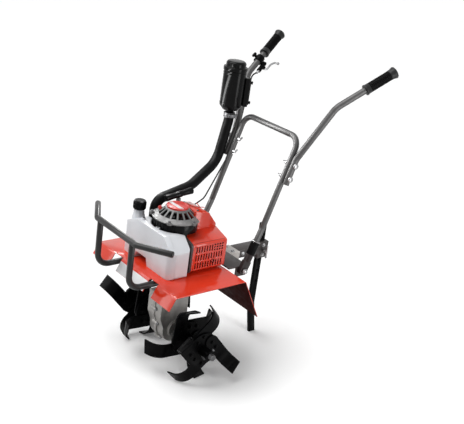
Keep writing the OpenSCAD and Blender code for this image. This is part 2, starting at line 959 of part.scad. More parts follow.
// Outline of the tank, seen from the front, in Y and Z
module tank_outline() {
    rounded([
        [-tank_right, 0, tank_corner_r],
        [-tank_right * tank_notch_shares[0], 0, 0],
        [-tank_right * tank_notch_shares[1], tank_floor_step, 0],
        [-tank_right * tank_notch_shares[2], tank_floor_step, 0],
        [0, 0, 0],
        [tank_left, 0, tank_corner_r],
        [tank_left, tank_h * tank_side_shares[0], tank_corner_r],
        [tank_left * tank_top_shares[0], tank_h, tank_corner_r],
        [-tank_right * tank_top_shares[1], tank_h, tank_corner_r],
        [-tank_right, tank_h * tank_side_shares[1], tank_corner_r]
    ]);
}

// Outline of the tank, seen from above, in X and Y
module tank_plan() {
    rounded([
        [tank_rear, -tank_right, 0],
        [tank_front, -tank_right, tank_plan_r],
        [tank_front, tank_left, tank_plan_r],
        [tank_rear, tank_left, tank_corner_r]
    ]);
}

module fuel_tank() {
    color("whitesmoke") difference() {
        union() {
            intersection() {
                translate([0, 0, deck_z]) lengthwise(crank_x, tank_front) tank_outline();
                translate([crank_x, 0, deck_z]) linear_extrude(height = tank_h) tank_plan();
            }
            translate([crank_x + tank_neck_x, -tank_neck_y, deck_z + tank_h - tank_neck_l / 2]) {
                cylinder(d = tank_neck_d, h = tank_neck_l);
                cylinder(d1 = tank_shoulder_d, d2 = tank_neck_d, h = tank_neck_l / 2 + tank_shoulder_h);
            }
            for (b = tank_bosses) {
                translate([crank_x + tank_front - b[0], b[1], deck_z + tank_h - tank_boss_h])
                    cylinder(d = tank_boss_d, h = 2 * tank_boss_h);
            }
        }
        translate([crank_x, 0, deck_z - overrun])
            cylinder(d = recoil_d + 2 * tank_gap, h = tank_h + 2 * overrun);
        translate([crank_x, -tank_right - overrun, deck_z - overrun])
            cube([tank_right_rear, tank_right, tank_h + 2 * overrun]);
    }
}

module fuel_cap() {
    color("black")
        translate([crank_x + tank_neck_x, -tank_neck_y, deck_z + tank_h + tank_neck_l / 2])
            cylinder(d = fuel_cap_d, h = fuel_cap_h);
}

// Intake

hose_path = [
    hose_top,
    for (s = hose_shares)
        [for (k = [0 : 2]) hose_top[k] + s[k] * (hose_foot[k] - hose_top[k])],
    hose_foot
];

module carburettor() {
    inner_y = -crankcase_right;
    color("silver") {
        translate([carb_x - carb_w / 2, carb_y - carb_d / 2, carb_z])
            cube([carb_w, inner_y - carb_y + carb_d / 2, carb_h]);
    }
}

module intake_hose() {
    color("black") bent_rod(hose_path, hose_bends, hose_d);
}

module hose_clamp() {
    top = hose_path[0];
    color("silver") difference() {
        translate(top - [0, 0, hose_clamp_l]) cylinder(d = hose_clamp_d, h = hose_clamp_l);
        bent_rod(hose_path, hose_bends, hose_d);
    }
}

module air_cleaner() {
    color("black") translate([air_x, air_y, air_z]) {
        translate([0, 0, air_foot_h]) cylinder(d = air_d, h = air_h - air_foot_h);
        cylinder(d1 = air_foot_d, d2 = air_d, h = air_foot_h);
        translate([0, 0, -air_outlet_l]) cylinder(d = air_outlet_d, h = air_outlet_l);
    }
}

module air_cleaner_lid() {
    color("black") translate([air_x, air_y, air_z + air_h]) {
        cylinder(d = air_lid_d, h = air_lid_rim_h);
        cylinder(d = air_lid_top_d, h = air_lid_h - air_lid_taper);
        translate([0, 0, air_lid_h - air_lid_taper])
            cylinder(d1 = air_lid_top_d, d2 = air_lid_top_d - 2 * air_lid_taper, h = air_lid_taper);
    }
}

module air_cleaner_bracket() {
    foot = air_z + air_bracket_lift;
    mid = foot + air_bracket_h / 2;
    right_low = flip_y(lap_top);
    right_dir = flip_y(handle_bend - lap_top);
    seat = right_low + right_dir * (mid - right_low[2]) / right_dir[2];
    run = [seat[0] - air_x, seat[1] - air_y];
    color("black") difference() {
        translate([air_x, air_y, foot])
            rotate(atan2(run[1], run[0]))
                translate([0, -air_bracket_t / 2, 0])
                    cube([norm(run), air_bracket_t, air_bracket_h]);
        translate([air_x, air_y, air_z]) cylinder(d = air_d, h = air_h);
        rod(right_low, right_low + right_dir, handle_d + 2 * seat_gap);
    }
}

// Handle frame

leg_foot = arm_bolt + leg_gap * arm_dir;
frame_path = [leg_foot, leg_bend, crossbar, flip_y(crossbar), flip_y(leg_bend), flip_y(leg_foot)];
frame_bends = [leg_bend_r, crossbar_bend_r, crossbar_bend_r, leg_bend_r];
handle_path = [lap_low, lap_top, handle_bend, handle_end];

module arm_left() {
    color([0.3, 0.27, 0.26]) difference() {
        union() {
            rod(arm_bolt + arm_sleeve_from * arm_dir, arm_bolt + arm_l * arm_dir, arm_sleeve_d);
            translate(arm_bolt) rotate([90, 0, 0]) cylinder(d = arm_eye_d, h = arm_t, center = true);
            turned(arm_bolt, [cos(arm_lean), 0, sin(arm_lean)], arm_dir)
                translate([-arm_eye_d / 2, -arm_t / 2, 0])
                    cube([arm_eye_d, arm_t, arm_sleeve_from + weld_seat]);
        }
        rod(leg_foot - seat_gap * arm_dir, leg_foot + arm_l * arm_dir, frame_d + 2 * seat_gap);
        translate(arm_bolt) rotate([90, 0, 0]) cylinder(d = clamp_d, h = arm_l, center = true);
    }
}

module arm_right() {
    mirrored() arm_left();
}

module handle_frame() {
    color("dimgray") bent_tube(frame_path, frame_bends, frame_d, tube_wall);
}

module handle_left() {
    color("dimgray") bent_tube(handle_path, [lap_bend_r, handle_bend_r], handle_d, tube_wall);
}

module handle_right() {
    mirrored() handle_left();
}

module grip_left() {
    inner = handle_end - grip_l * end_dir;
    color("black") difference() {
        union() {
            rod(inner, handle_end, grip_d);
            rod(handle_end - grip_flange_l * end_dir, handle_end, grip_flange_d);
            rod(inner, inner + grip_flange_l * end_dir, grip_inner_d);
        }
        rod(inner - overrun * end_dir, handle_end + overrun * end_dir, handle_d + 2 * seat_gap);
    }
}

module grip_right() {
    mirrored() grip_left();
}

// Bolt that lies across at p, with its head on the left and its nut on the right
module cross_bolt(p, left, right) {
    translate(p) rotate([-90, 0, 0]) {
        translate([0, 0, -right]) cylinder(d = clamp_d, h = left + right);
        translate([0, 0, left]) cylinder(d = clamp_head_d, h = clamp_head_l);
        translate([0, 0, -right - clamp_nut_l]) cylinder(d = clamp_nut_d, h = clamp_nut_l);
    }
}

module handle_bolts() {
    color("silver") for (side = [0, 1]) {
        mirror([0, side, 0]) cross_bolt(arm_bolt, arm_t / 2, arm_t / 2 + bracket_t);
    }
}

// Rear bracket, hitch and stake

ear_y = leg_y - arm_t / 2 - bracket_t;

module rear_bracket() {
    rear = arm_bolt[0] - bracket_ear_l / 2;
    color("dimgray") difference() {
        union() {
            translate([rear, -ear_y - bracket_t, deck_z])
                cube([deck_rear - bracket_gap - rear, 2 * (ear_y + bracket_t), bracket_t]);
            translate([rear, -bracket_tongue_w / 2, deck_z])
                cube([deck_rear + bracket_seat - rear, bracket_tongue_w, bracket_t]);
            for (side = [0, 1]) {
                mirror([0, side, 0])
                    translate([rear, ear_y, deck_z - bracket_ear_h])
                        cube([bracket_ear_l, bracket_t, bracket_ear_h]);
            }
        }
        translate([arm_bolt[0], -deck_w, arm_bolt[2]])
            rotate([-90, 0, 0])
                cylinder(d = clamp_d, h = 2 * deck_w);
    }
}

block_rear = arm_bolt[0] - bracket_ear_l / 2 - hitch_block_rear;

module hitch_block() {
    color("silver")
        translate([block_rear, -hitch_block_w / 2, deck_z - hitch_h])
            cube([hitch_block_l, hitch_block_w, hitch_h]);
}

module hitch_channel() {
    front = block_rear;
    rear = stake_x + holder_l / 2;
    color("dimgray") translate([rear, -hitch_w / 2, deck_z - hitch_h]) difference() {
        cube([front - rear, hitch_w, hitch_h]);
        translate([-overrun, hitch_t, -overrun])
            cube([front - rear + 2 * overrun, hitch_w - 2 * hitch_t, hitch_h - hitch_t + overrun]);
    }
}

module stake_holder() {
    slot_l = stake_w + 2 * sliding_gap;
    slot_w = stake_t + 2 * sliding_gap;
    color("gray") difference() {
        translate([stake_x - holder_l / 2, -holder_w / 2, deck_z + holder_up - holder_h])
            cube([holder_l, holder_w, holder_h]);
        translate([stake_x - slot_l / 2, -slot_w / 2, deck_z + holder_up - holder_h - overrun])
            cube([slot_l, slot_w, holder_h + 2 * overrun]);
        screw_bore();
    }
}

screw_z = deck_z + holder_up - holder_h / 2;
screw_tip_y = stake_t / 2 + sliding_gap;

module screw_bore() {
    translate([stake_x, screw_tip_y, screw_z]) rotate([-90, 0, 0]) cylinder(d = screw_d, h = holder_w);
}

module stake_screw() {
    color("silver") {
        translate([stake_x, screw_tip_y, screw_z]) rotate([-90, 0, 0]) cylinder(d = screw_d, h = screw_l);
        translate([stake_x, screw_tip_y + screw_l, screw_z - screw_bar_l / 2])
            cylinder(d = screw_bar_d, h = screw_bar_l);
    }
}

foot_drop = stake_foot_l * cos(stake_foot_lean);

module stake() {
    top = deck_z + stake_top;
    foot_back = stake_foot_l * sin(stake_foot_lean);
    color("black") difference() {
        across(-stake_t / 2, stake_t)
            polygon([
                [stake_x - stake_w / 2, top],
                [stake_x - stake_w / 2, foot_drop],
                [stake_x - stake_w / 2 - foot_back, 0],
                [stake_x + stake_w / 2 - foot_back, 0],
                [stake_x + stake_w / 2, foot_drop],
                [stake_x + stake_w / 2, top]
            ]);
        for (k = [0 : stake_holes - 1]) {
            translate([stake_x, -stake_t, top - stake_hole_top - k * stake_pitch])
                rotate([-90, 0, 0])
                    cylinder(d = stake_hole_d, h = 2 * stake_t);
        }
    }
}

// Throttle

right_end_dir = flip_y(end_dir);
throttle_at = flip_y(handle_end) - (grip_l + throttle_gap + throttle_l) * right_end_dir;

// The lever hangs on the lower inner side of the handle, and the cable runs down behind it
lever_side = unit(lever_side_shares - right_end_dir * (lever_side_shares * right_end_dir));
lever_boss = throttle_at + throttle_l / 2 * right_end_dir;
handle_behind = [-cos(leg_lean), 0, -sin(leg_lean)];
function on_lever(row) = lever_boss + row[0] * right_end_dir + row[1] * lever_side;

module throttle_bracket() {
    color("black") difference() {
        union() {
            rod(throttle_at, throttle_at + throttle_l * right_end_dir, throttle_d);
            rod(lever_boss, on_lever([0, lever_out]), lever_boss_d);
            rod(on_lever([lever_body[0], lever_out]), on_lever([lever_body[1], lever_out]), lever_body_d);
            rod(on_lever([lever_root[0], lever_out]), on_lever(lever_root), lever_boss_d);
        }
        rod(throttle_at - overrun * right_end_dir,
            throttle_at + (throttle_l + overrun) * right_end_dir,
            handle_d + 2 * seat_gap);
    }
}

module throttle_lever() {
    color("silver") bent_rod([for (row = lever_rows) on_lever(row)], lever_bends, lever_d);
}

module throttle_cable() {
    beside = handle_d / 2 + cable_d / 2 + cable_gap;
    tail = on_lever([lever_body[1], lever_out]);
    run = [
        tail,
        tail - lever_body_tail * right_end_dir,
        flip_y(handle_bend) + (beside + cable_bend_gap) * handle_behind,
        flip_y(lap_top) + beside * handle_behind,
        flip_y(lap_low) + beside * handle_behind,
        flip_y(leg_bend) + [frame_d, -frame_d, 0],
        [carb_x - carb_w / 2 - cable_end_gap, carb_y, carb_z + carb_h / 2]
    ];
    color("black") bent_rod(run, [for (i = [1 : len(run) - 2]) cable_bend_r], cable_d);
}

deck();
bumper_bar();
bumper_upright_left();
bumper_upright_right();
drive_tube();
gear_case_left();
gear_case_right();
tine_shaft();
tine_wheel_left_inner();
tine_wheel_left_outer();
tine_wheel_right_inner();
tine_wheel_right_outer();
clutch_housing();
crankcase();
fan_housing();
recoil_cover();
recoil_cap();
recoil_grip();
cylinder_cover();
muffler_cover();
muffler();
heat_shield();
fuel_tank();
fuel_cap();
carburettor();
intake_hose();
hose_clamp();
air_cleaner();
air_cleaner_lid();
air_cleaner_bracket();
rear_bracket();
hitch_block();
hitch_channel();
stake_holder();
stake_screw();
stake();
arm_left();
arm_right();
handle_frame();
handle_left();
handle_right();
grip_left();
grip_right();
handle_bolts();
throttle_bracket();
throttle_lever();
throttle_cable();
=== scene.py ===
"""Dresses a walk-behind power weeder: finishes for its solids, fasteners, grips and moulded detail."""

import json
import math

import bmesh
import bpy
from mathutils import Matrix, Quaternion, Vector
from mathutils.bvhtree import BVHTree

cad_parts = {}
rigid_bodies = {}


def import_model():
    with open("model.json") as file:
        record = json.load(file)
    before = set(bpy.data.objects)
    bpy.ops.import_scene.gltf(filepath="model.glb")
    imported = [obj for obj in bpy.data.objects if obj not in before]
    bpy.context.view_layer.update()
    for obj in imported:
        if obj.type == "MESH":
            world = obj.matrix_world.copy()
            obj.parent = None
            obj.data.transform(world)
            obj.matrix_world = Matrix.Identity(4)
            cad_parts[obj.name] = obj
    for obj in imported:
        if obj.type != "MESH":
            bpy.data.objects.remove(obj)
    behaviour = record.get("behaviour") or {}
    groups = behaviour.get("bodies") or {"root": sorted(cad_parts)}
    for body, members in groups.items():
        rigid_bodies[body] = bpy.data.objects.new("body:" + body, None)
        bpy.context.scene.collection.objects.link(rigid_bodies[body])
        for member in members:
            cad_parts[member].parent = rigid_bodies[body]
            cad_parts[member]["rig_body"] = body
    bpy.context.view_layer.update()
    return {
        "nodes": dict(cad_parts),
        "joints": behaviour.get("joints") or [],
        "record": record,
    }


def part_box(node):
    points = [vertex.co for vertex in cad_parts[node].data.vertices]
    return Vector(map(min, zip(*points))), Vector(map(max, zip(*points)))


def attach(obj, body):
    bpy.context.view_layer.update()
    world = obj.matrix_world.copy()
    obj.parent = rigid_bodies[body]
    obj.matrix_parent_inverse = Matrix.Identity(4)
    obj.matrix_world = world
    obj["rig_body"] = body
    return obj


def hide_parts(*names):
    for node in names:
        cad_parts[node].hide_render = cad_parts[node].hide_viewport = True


bl_info = {
    "name": "Power weeder",
    "version": (1, 0, 0),
    "blender": (4, 5, 0),
    "location": "3D View > Sidebar > Weeder",
    "description": "Finishes, fasteners and moulded detail for a walk-behind power weeder",
    "category": "Object",
}

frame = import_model()
NODES = frame["nodes"]
SLOT_OF = {row["node"]: row["material_slot"] for row in frame["record"]["subparts"]}
JOINTS = {joint["name"]: joint for joint in frame["joints"]}


def middle_of(node):
    return sum(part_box(node), Vector()) / 2


def other_side(point):
    return Vector((point.x, -point.y, point.z))


def swung(way, degrees, axis):
    """A direction turned about an axis of the frame."""
    return Matrix.Rotation(math.radians(degrees), 3, axis) @ way


def mm(*rows):
    """A half section of rows (radius, height), given in millimetres, in metres."""
    return [(radius / 1000, height / 1000) for radius, height in rows]


def circle(count):
    """Angles of equal steps round a circle, with the first one again at the end."""
    return [2 * math.pi * k / count for k in range(count + 1)]


# Directions, and each side with its name, its sign along Y and what moves a place on the left to it

X, Y, Z = Vector((1, 0, 0)), Vector((0, 1, 0)), Vector((0, 0, 1))
SIDES = (-1, 1)
HANDS = (("left", 1, Vector), ("right", -1, other_side))

# Places that the solids give, and how far outside a solid the search for its surface starts

AXLE = Vector(JOINTS["tine_turn"]["pos_m"])
DECK_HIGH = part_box("deck")[1]
CRANK = middle_of("recoil_cap")
AWAY = 0.1

# End of the left handle and the way to it along the grip

HANDLE_END = Vector((-0.41344, 0.28100, 1.06236))
HANDLE_WAY = Vector((-0.184, 0.060, 0.128)).normalized()


# Properties

def length(name, description, default):
    return bpy.props.FloatProperty(
        name=name, description=description, default=default, min=0.0, precision=4,
        subtype="DISTANCE", unit="LENGTH",
    )


def tint(name, description, default):
    return bpy.props.FloatVectorProperty(
        name=name, description=description, default=default, min=0.0, max=1.0, size=3, subtype="COLOR"
    )


class WeederColours(bpy.types.PropertyGroup):
    """Colours of the finishes"""

    red_paint: tint("Red paint", "Gloss paint of the deck and the engine covers", (0.66, 0.035, 0.011))
    red_plastic: tint("Red plastic", "Cap on the recoil starter", (0.62, 0.03, 0.022))
    grey_paint: tint("Tube paint", "Metallic paint of the handles", (0.088, 0.0867, 0.0867))
    bumper_paint: tint("Bumper paint", "Dark paint of the bumper", (0.010, 0.0097, 0.0097))
    dark_paint: tint("Dark paint", "Paint of the rear bracket and the hitch", (0.045, 0.039, 0.038))
    arm_paint: tint("Arm paint", "Brownish black paint of the arms", (0.022, 0.0165, 0.0165))
    black_paint: tint("Black paint", "Gloss paint of the tines and the stake", (0.0025, 0.0025, 0.0028))
    cast_aluminium: tint("Cast aluminium", "Gear case and engine castings", (0.40, 0.385, 0.365))
    bare_steel: tint("Zinc", "Bolts, lever and clamps", (0.34, 0.34, 0.345))
    grey_plastic: tint("Grey plastic", "Recoil dome", (0.135, 0.133, 0.131))
    black_plastic: tint("Black plastic", "Air cleaner, caps and starter grip", (0.0028, 0.0028, 0.003))
    black_rubber: tint("Rubber", "Hose, cable and handle grips", (0.0040, 0.0040, 0.0042))
    smooth_rubber: tint("Smooth rubber", "Paler smooth ends of the handle grips", (0.014, 0.0143, 0.0146))
    tank_plastic: tint("Tank plastic", "Milky plastic of the fuel tank", (0.70, 0.715, 0.745))
    plate: tint("Plate", "Blank plate and band", (0.58, 0.58, 0.585))
    dark_zinc: tint("Dark zinc", "Bolts and screws with a dark passivated finish", (0.09, 0.09, 0.093))
    # Painted shade: this colour is a far darker red for the deck's faces that look down, with a duller
    # coat.
    underside: tint("Underside", "Thin dull coat on the deck's faces that look down", (0.045, 0.004, 0.003))


class WeederSizes(bpy.types.PropertyGroup):
    """Sizes of the added detail"""

    edge: length("Edge", "Width of the softened edges on castings and covers", 0.0016)
    sheet_edge: length("Sheet edge", "Width of the softened edges on sheet metal", 0.0007)
    bolt: length("Bolt", "Width across the corners of a bolt's head", 0.0135)
    tank_edge: length("Tank edge", "Width of the rounded edges of the fuel tank", 0.013)
    rib: length("Rib", "Height of the ribs on a handle grip", 0.0011)


def sizes():
    return bpy.context.scene.weeder_sizes


# Shader nodes

def feed(tree, node, inputs):
    """Links a node's inputs to the sockets given, or sets them to the plain values given."""
    for name, value in inputs.items():
        if isinstance(value, bpy.types.NodeSocket):
            tree.links.new(value, node.inputs[name])
        else:
            node.inputs[name].default_value = value
    return node


def added(tree, kind, inputs, **settings):
    node = tree.nodes.new(kind)
    for name, value in settings.items():
        setattr(node, name, value)
    return feed(tree, node, inputs)


def computed(tree, operation, *values):
    return added(tree, "ShaderNodeMath", dict(enumerate(values)), operation=operation).outputs["Value"]


def mixed(tree, share, first, second):
    inputs = {"Factor": share, "A": first, "B": second}
    return added(tree, "ShaderNodeMix", inputs, data_type="RGBA").outputs["Result"]


def remapped(tree, value, low, high, to_low=0.0, to_high=1.0):
    """Value with its span from low to high moved to another span."""
    inputs = {"Value": value, "From Min": low, "From Max": high, "To Min": to_low, "To Max": to_high}
    return added(tree, "ShaderNodeMapRange", inputs).outputs["Result"]


def noise_of(tree, scale, detail, stretch=None):
    """Noise on the piece's own coordinates."""
    place = tree.nodes.new("ShaderNodeTexCoord").outputs["Object"]
    if stretch:
        place = added(tree, "ShaderNodeMapping", {"Vector": place, "Scale": stretch}).outputs["Vector"]
    inputs = {"Vector": place, "Scale": scale, "Detail": detail}
    return added(tree, "ShaderNodeTexNoise", inputs).outputs["Fac"]


def seen_rays(tree):
    """1 for rays from the camera and for rays that mirror or glass sends on, else 0."""
    path = tree.nodes.new("ShaderNodeLightPath").outputs
    seen = computed(tree, "MAXIMUM", path["Is Camera Ray"], path["Is Glossy Ray"])
    return computed(tree, "MAXIMUM", seen, path["Is Transmission Ray"])


# Node groups that the finishes share

def shader_group(name, output, **inputs):
    """A group with its input and output sockets: those called Colour are colours, the others numbers."""
    tree = bpy.data.node_groups.new(name, "ShaderNodeTree")

    def socket(label, side):
        kind = "NodeSocketColor" if label == "Colour" else "NodeSocketFloat"
        return tree.interface.new_socket(label, in_out=side, socket_type=kind)

    for label, default in inputs.items():
        socket(label, "INPUT").default_value = default
    socket(output, "OUTPUT")
    return tree, tree.nodes.new("NodeGroupInput").outputs, tree.nodes.new("NodeGroupOutput").inputs


def mottle_group():
    """A colour that grows a little lighter and darker in soft patches."""
    tree, given, out = shader_group(
        "mottle", "Colour", Colour=(0.5, 0.5, 0.5, 1), Scale=20.0, Darkest=0.9, Lightest=1.1
    )
    patches = noise_of(tree, given["Scale"], 4)
    value = remapped(tree, patches, 0.3, 0.7, given["Darkest"], given["Lightest"])
    shift = added(tree, "ShaderNodeHueSaturation", {"Value": value, "Color": given["Colour"]})
    tree.links.new(shift.outputs["Color"], out["Colour"])


def gloss_group():
    """Roughness that wanders between two values."""
    tree, given, out = shader_group("gloss", "Roughness", Scale=20.0, Low=0.2, High=0.4)
    patches = noise_of(tree, given["Scale"], 6)
    tree.links.new(remapped(tree, patches, 0.35, 0.65, given["Low"], given["High"]), out["Roughness"])


def grain_group():
    """Height of a fine cast or sprayed grain."""
    tree, given, out = shader_group("grain", "Height", Scale=400.0)
    tree.links.new(noise_of(tree, given["Scale"], 3), out["Height"])


def scuff_group():
    """Mask of fine rubbed streaks."""
    tree, given, out = shader_group("scuffs", "Mask", Scale=60.0, Amount=0.2)
    streaks = remapped(tree, noise_of(tree, given["Scale"], 8, (1.0, 0.12, 0.6)), 0.62, 0.74)
    tree.links.new(computed(tree, "MULTIPLY", streaks, given["Amount"]), out["Mask"])


def wear_and_highlight_group():
    """Mask of broken wear and painted highlight along the edges, from the share of edge at each face."""
    tree, given, out = shader_group("edge_wear", "Mask", Edge=0.0, Scale=90.0, Amount=0.3)
    broken = remapped(tree, noise_of(tree, given["Scale"], 5), 0.44, 0.62)
    worn_and_highlit = computed(tree, "MULTIPLY", broken, given["Edge"])
    tree.links.new(computed(tree, "MULTIPLY", worn_and_highlit, given["Amount"]), out["Mask"])


def make_groups():
    for build in (mottle_group, gloss_group, grain_group, scuff_group, wear_and_highlight_group):
        build()


# Finishes: scale and span of the patches, span of the roughness, scale and height of the grain, streaks,
# edge wear with painted highlight and its lighter colour, and other values of the shader

SPECULAR = "Specular IOR Level"
FINISHES = {
    "red_paint": ((9, 0.95, 1.04), (0.14, 0.22), (300, 0.00003), 0.06, (0.35, (0.80, 0.13, 0.08)),
                  {"Coat Weight": 0.3, "Coat Roughness": 0.04, SPECULAR: 0.35}),
    # Painted shade on the deck's faces that look down: a far darker red with a duller coat.
    "underside": ((12, 0.7, 1.2), (0.5, 0.7), (500, 0.0001), 0.1, (0.3, (0.2, 0.02, 0.015)),
                  {SPECULAR: 0.04}),
    "red_plastic": ((14, 0.94, 1.05), (0.26, 0.4), (700, 0.00008), 0.12, (0.3, (0.8, 0.16, 0.12)), {}),
    "grey_paint": ((12, 0.97, 1.03), (0.40, 0.46), (420, 0.00001), 0.02, (0.3, (0.24, 0.235, 0.23)),
                   {"Metallic": 0.6, SPECULAR: 0.3}),
    "bumper_paint": ((12, 0.95, 1.05), (0.30, 0.38), (420, 0.00001), 0.02, (0.3, (0.18, 0.175, 0.17)),
                     {SPECULAR: 0.3}),
    "dark_paint": ((16, 0.88, 1.12), (0.32, 0.48), (900, 0.00009), 0.15, (0.5, (0.20, 0.185, 0.18)),
                   {"Metallic": 0.35, SPECULAR: 0.3}),
    "arm_paint": ((16, 0.9, 1.1), (0.32, 0.46), (900, 0.00006), 0.1, (0.4, (0.10, 0.09, 0.088)),
                  {SPECULAR: 0.2}),
    "black_paint": ((14, 0.8, 1.25), (0.26, 0.40), (500, 0.00006), 0.1, (0.45, (0.04, 0.039, 0.038)),
                    {SPECULAR: 0.04}),
    "cast_aluminium": ((24, 0.66, 1.12), (0.38, 0.58), (520, 0.0003), 0.2, (0.7, (0.78, 0.77, 0.75)),
                       {"Metallic": 0.4}),
    "bare_steel": ((40, 0.84, 1.08), (0.22, 0.38), (900, 0.00005), 0.2, (0.3, (0.8, 0.8, 0.8)),
                   {"Metallic": 1.0}),
    "grey_plastic": ((18, 0.92, 1.08), (0.34, 0.5), (800, 0.00012), 0.12, (0.35, (0.42, 0.41, 0.4)),
                     {"Metallic": 0.25}),
    "black_plastic": ((18, 0.85, 1.2), (0.12, 0.20), (600, 0.00003), 0.06, (0.25, (0.02, 0.02, 0.022)),
                      {SPECULAR: 0.10}),
    "black_rubber": ((22, 0.8, 1.25), (0.36, 0.5), (900, 0.0001), 0.08, (0.25, (0.02, 0.02, 0.02)),
                     {SPECULAR: 0.055}),
    "smooth_rubber": ((22, 0.85, 1.15), (0.3, 0.4), (900, 0.00005), 0.08, (0.25, (0.05, 0.05, 0.05)),
                      {SPECULAR: 0.2}),
    "tank_plastic": ((11, 0.93, 1.03), (0.3, 0.42), (260, 0.0001), 0.06, (0.1, (0.9, 0.91, 0.92)),
                     {"Subsurface Weight": 0.45, "Subsurface Scale": 0.02,
                      "Subsurface Radius": (0.9, 0.95, 1.0)}),
    "dark_zinc": ((60, 0.8, 1.15), (0.3, 0.45), (900, 0.00005), 0.25, (0.4, (0.5, 0.5, 0.5)),
                  {"Metallic": 0.9}),
    "plate": ((30, 0.95, 1.03), (0.3, 0.45), (700, 0.00006), 0.15, (0.3, (0.6, 0.6, 0.6)),
              {"Metallic": 0.1}),
}
RUBBED_ROUGHNESS = 0.3


def finish(slot):
    """The material of a finish, made once."""
    known = bpy.data.materials.get(slot + "_finish")
    if known:
        return known
    patch, rough, grain, streaks, (wear_and_highlight, worn_and_highlit), others = FINISHES[slot]
    colour = tuple(getattr(bpy.context.scene.weeder_colours, slot)) + (1.0,)
    material = bpy.data.materials.new(slot + "_finish")
    material.use_nodes = True
    material.diffuse_color = colour
    tree = material.node_tree

    def shared(group, **inputs):
        return added(tree, "ShaderNodeGroup", inputs, node_tree=bpy.data.node_groups[group]).outputs[0]

    edge = added(tree, "ShaderNodeAttribute", {}, attribute_name="edge").outputs["Fac"]
    # Edges turn a lighter colour: partly wear, partly painted highlight.
    rubbed_and_highlit = computed(
        tree, "MAXIMUM", shared("scuffs", Amount=streaks), shared("edge_wear", Edge=edge, Amount=wear_and_highlight)
    )
    patches = shared("mottle", Colour=colour, Scale=patch[0], Darkest=patch[1], Lightest=patch[2])
    gloss = shared("gloss", Scale=patch[0] * 4, Low=rough[0], High=rough[1])
    bump = added(tree, "ShaderNodeBump", {"Height": shared("grain", Scale=grain[0]), "Distance": grain[1]})
    feed(tree, tree.nodes["Principled BSDF"], {
        **others,
        "Base Color": mixed(tree, rubbed_and_highlit, patches, worn_and_highlit + (1.0,)),
        "Roughness": computed(tree, "MULTIPLY_ADD", rubbed_and_highlit, RUBBED_ROUGHNESS, gloss),
        "Normal": bump.outputs["Normal"],
    })
    return material


# Making pieces

def linked(name, data):
    """An object in the scene with the given data."""
    obj = bpy.data.objects.new(name, data)
    bpy.context.scene.collection.objects.link(obj)
    return obj


def meshed(name, bm):
    """An object in the scene with the mesh of bm, which is freed."""
    mesh = bpy.data.meshes.new(name)
    bm.to_mesh(mesh)
    bm.free()
    return linked(name, mesh)


def piece(name, bm, slot, body="chassis", look=None, smooth=35.0, replaces=()):
    """A finished piece from bm, which is freed: shaded smooth up to the given angle, riding on its body."""
    for face in bm.faces:
        face.smooth = True
    for edge in bm.edges:
        edge.smooth = len(edge.link_faces) == 2 and edge.calc_face_angle(0.0) < math.radians(smooth)
    obj = meshed(name, bm)
    obj.data.materials.append(finish(look or slot))
    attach(obj, body)
    if replaces:
        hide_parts(*replaces)
    return obj


def bevelled(bm, edges, width, segments=2):
    """Rounds edges over, and gives the faces that this makes."""
    return bmesh.ops.bevel(
        bm, geom=edges, offset=width, offset_type="OFFSET", segments=segments, profile=0.5,
        affect="EDGES", material=-1, clamp_overlap=True,
    )["faces"]


def rounded_over(bm, verts, edges, width, segments=2):
    """Rounds edges of a shape over, and gives all the vertices that the shape then has."""
    faces = bevelled(bm, edges, width, segments)
    return list({vert for face in faces for vert in face.verts} | {vert for vert in verts if vert.is_valid})


def softened(node, width, segments=2, angle=32.0, look=None):
    """The solid of a node with its edges rounded over, in place of the node."""
    bm = bmesh.new()
    bm.from_mesh(NODES[node].data)
    bmesh.ops.remove_doubles(bm, verts=bm.verts, dist=0.00001)
    bmesh.ops.dissolve_limit(bm, angle_limit=math.radians(0.4), verts=bm.verts, edges=bm.edges)
    marks = bm.faces.layers.float.new("edge")
    if width > 0:
        sharp = [
            edge for edge in bm.edges
            if len(edge.link_faces) == 2 and edge.calc_face_angle(0.0) > math.radians(angle)
        ]
        for face in bevelled(bm, sharp, width, segments):
            face[marks] = 1.0
    body = NODES[node]["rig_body"]
    return piece(node + "_dressed", bm, SLOT_OF[node], body, look, replaces=[node])


def soften(nodes, width, look=None):
    for node in nodes:
        softened(node, width, look=look)


def pointing(origin, direction, turn=0.0):
    """Matrix that places a shape's Z along direction at origin."""
    return (
        Matrix.Translation(origin)
        @ Vector(direction).to_track_quat("Z", "Y").to_matrix().to_4x4()
        @ Matrix.Rotation(turn, 4, "Z")
    )


SOLIDS = {}


def seated(node, start, way, turn=0.0):
    """Matrix of the place on a node that is first met from start along way, with Z out of its surface."""
    if node not in SOLIDS:
        mesh = NODES[node].data
        SOLIDS[node] = BVHTree.FromPolygons(
            [vert.co for vert in mesh.vertices], [tuple(face.vertices) for face in mesh.polygons]
        )
    hit, normal, _, _ = SOLIDS[node].ray_cast(Vector(start), Vector(way).normalized())
    if hit is None:
        raise RuntimeError(node + " isn't met from the place given")
    return pointing(hit, normal if normal.dot(way) < 0 else -normal, turn)


def verts_in(geom):
    return [item for item in geom if isinstance(item, bmesh.types.BMVert)]


def mended(bm, verts):
    """Turns the faces round verts outwards."""
    bmesh.ops.recalc_face_normals(bm, faces=list({face for vert in verts for face in vert.link_faces}))


def sliced(bm, low, high):
    """Keeps what lies between two values of x."""
    for x, way in ((low, -1), (high, 1)):
        geom = bm.verts[:] + bm.edges[:] + bm.faces[:]
        bmesh.ops.bisect_plane(bm, geom=geom, plane_co=(x, 0, 0), plane_no=(way, 0, 0), clear_outer=True)


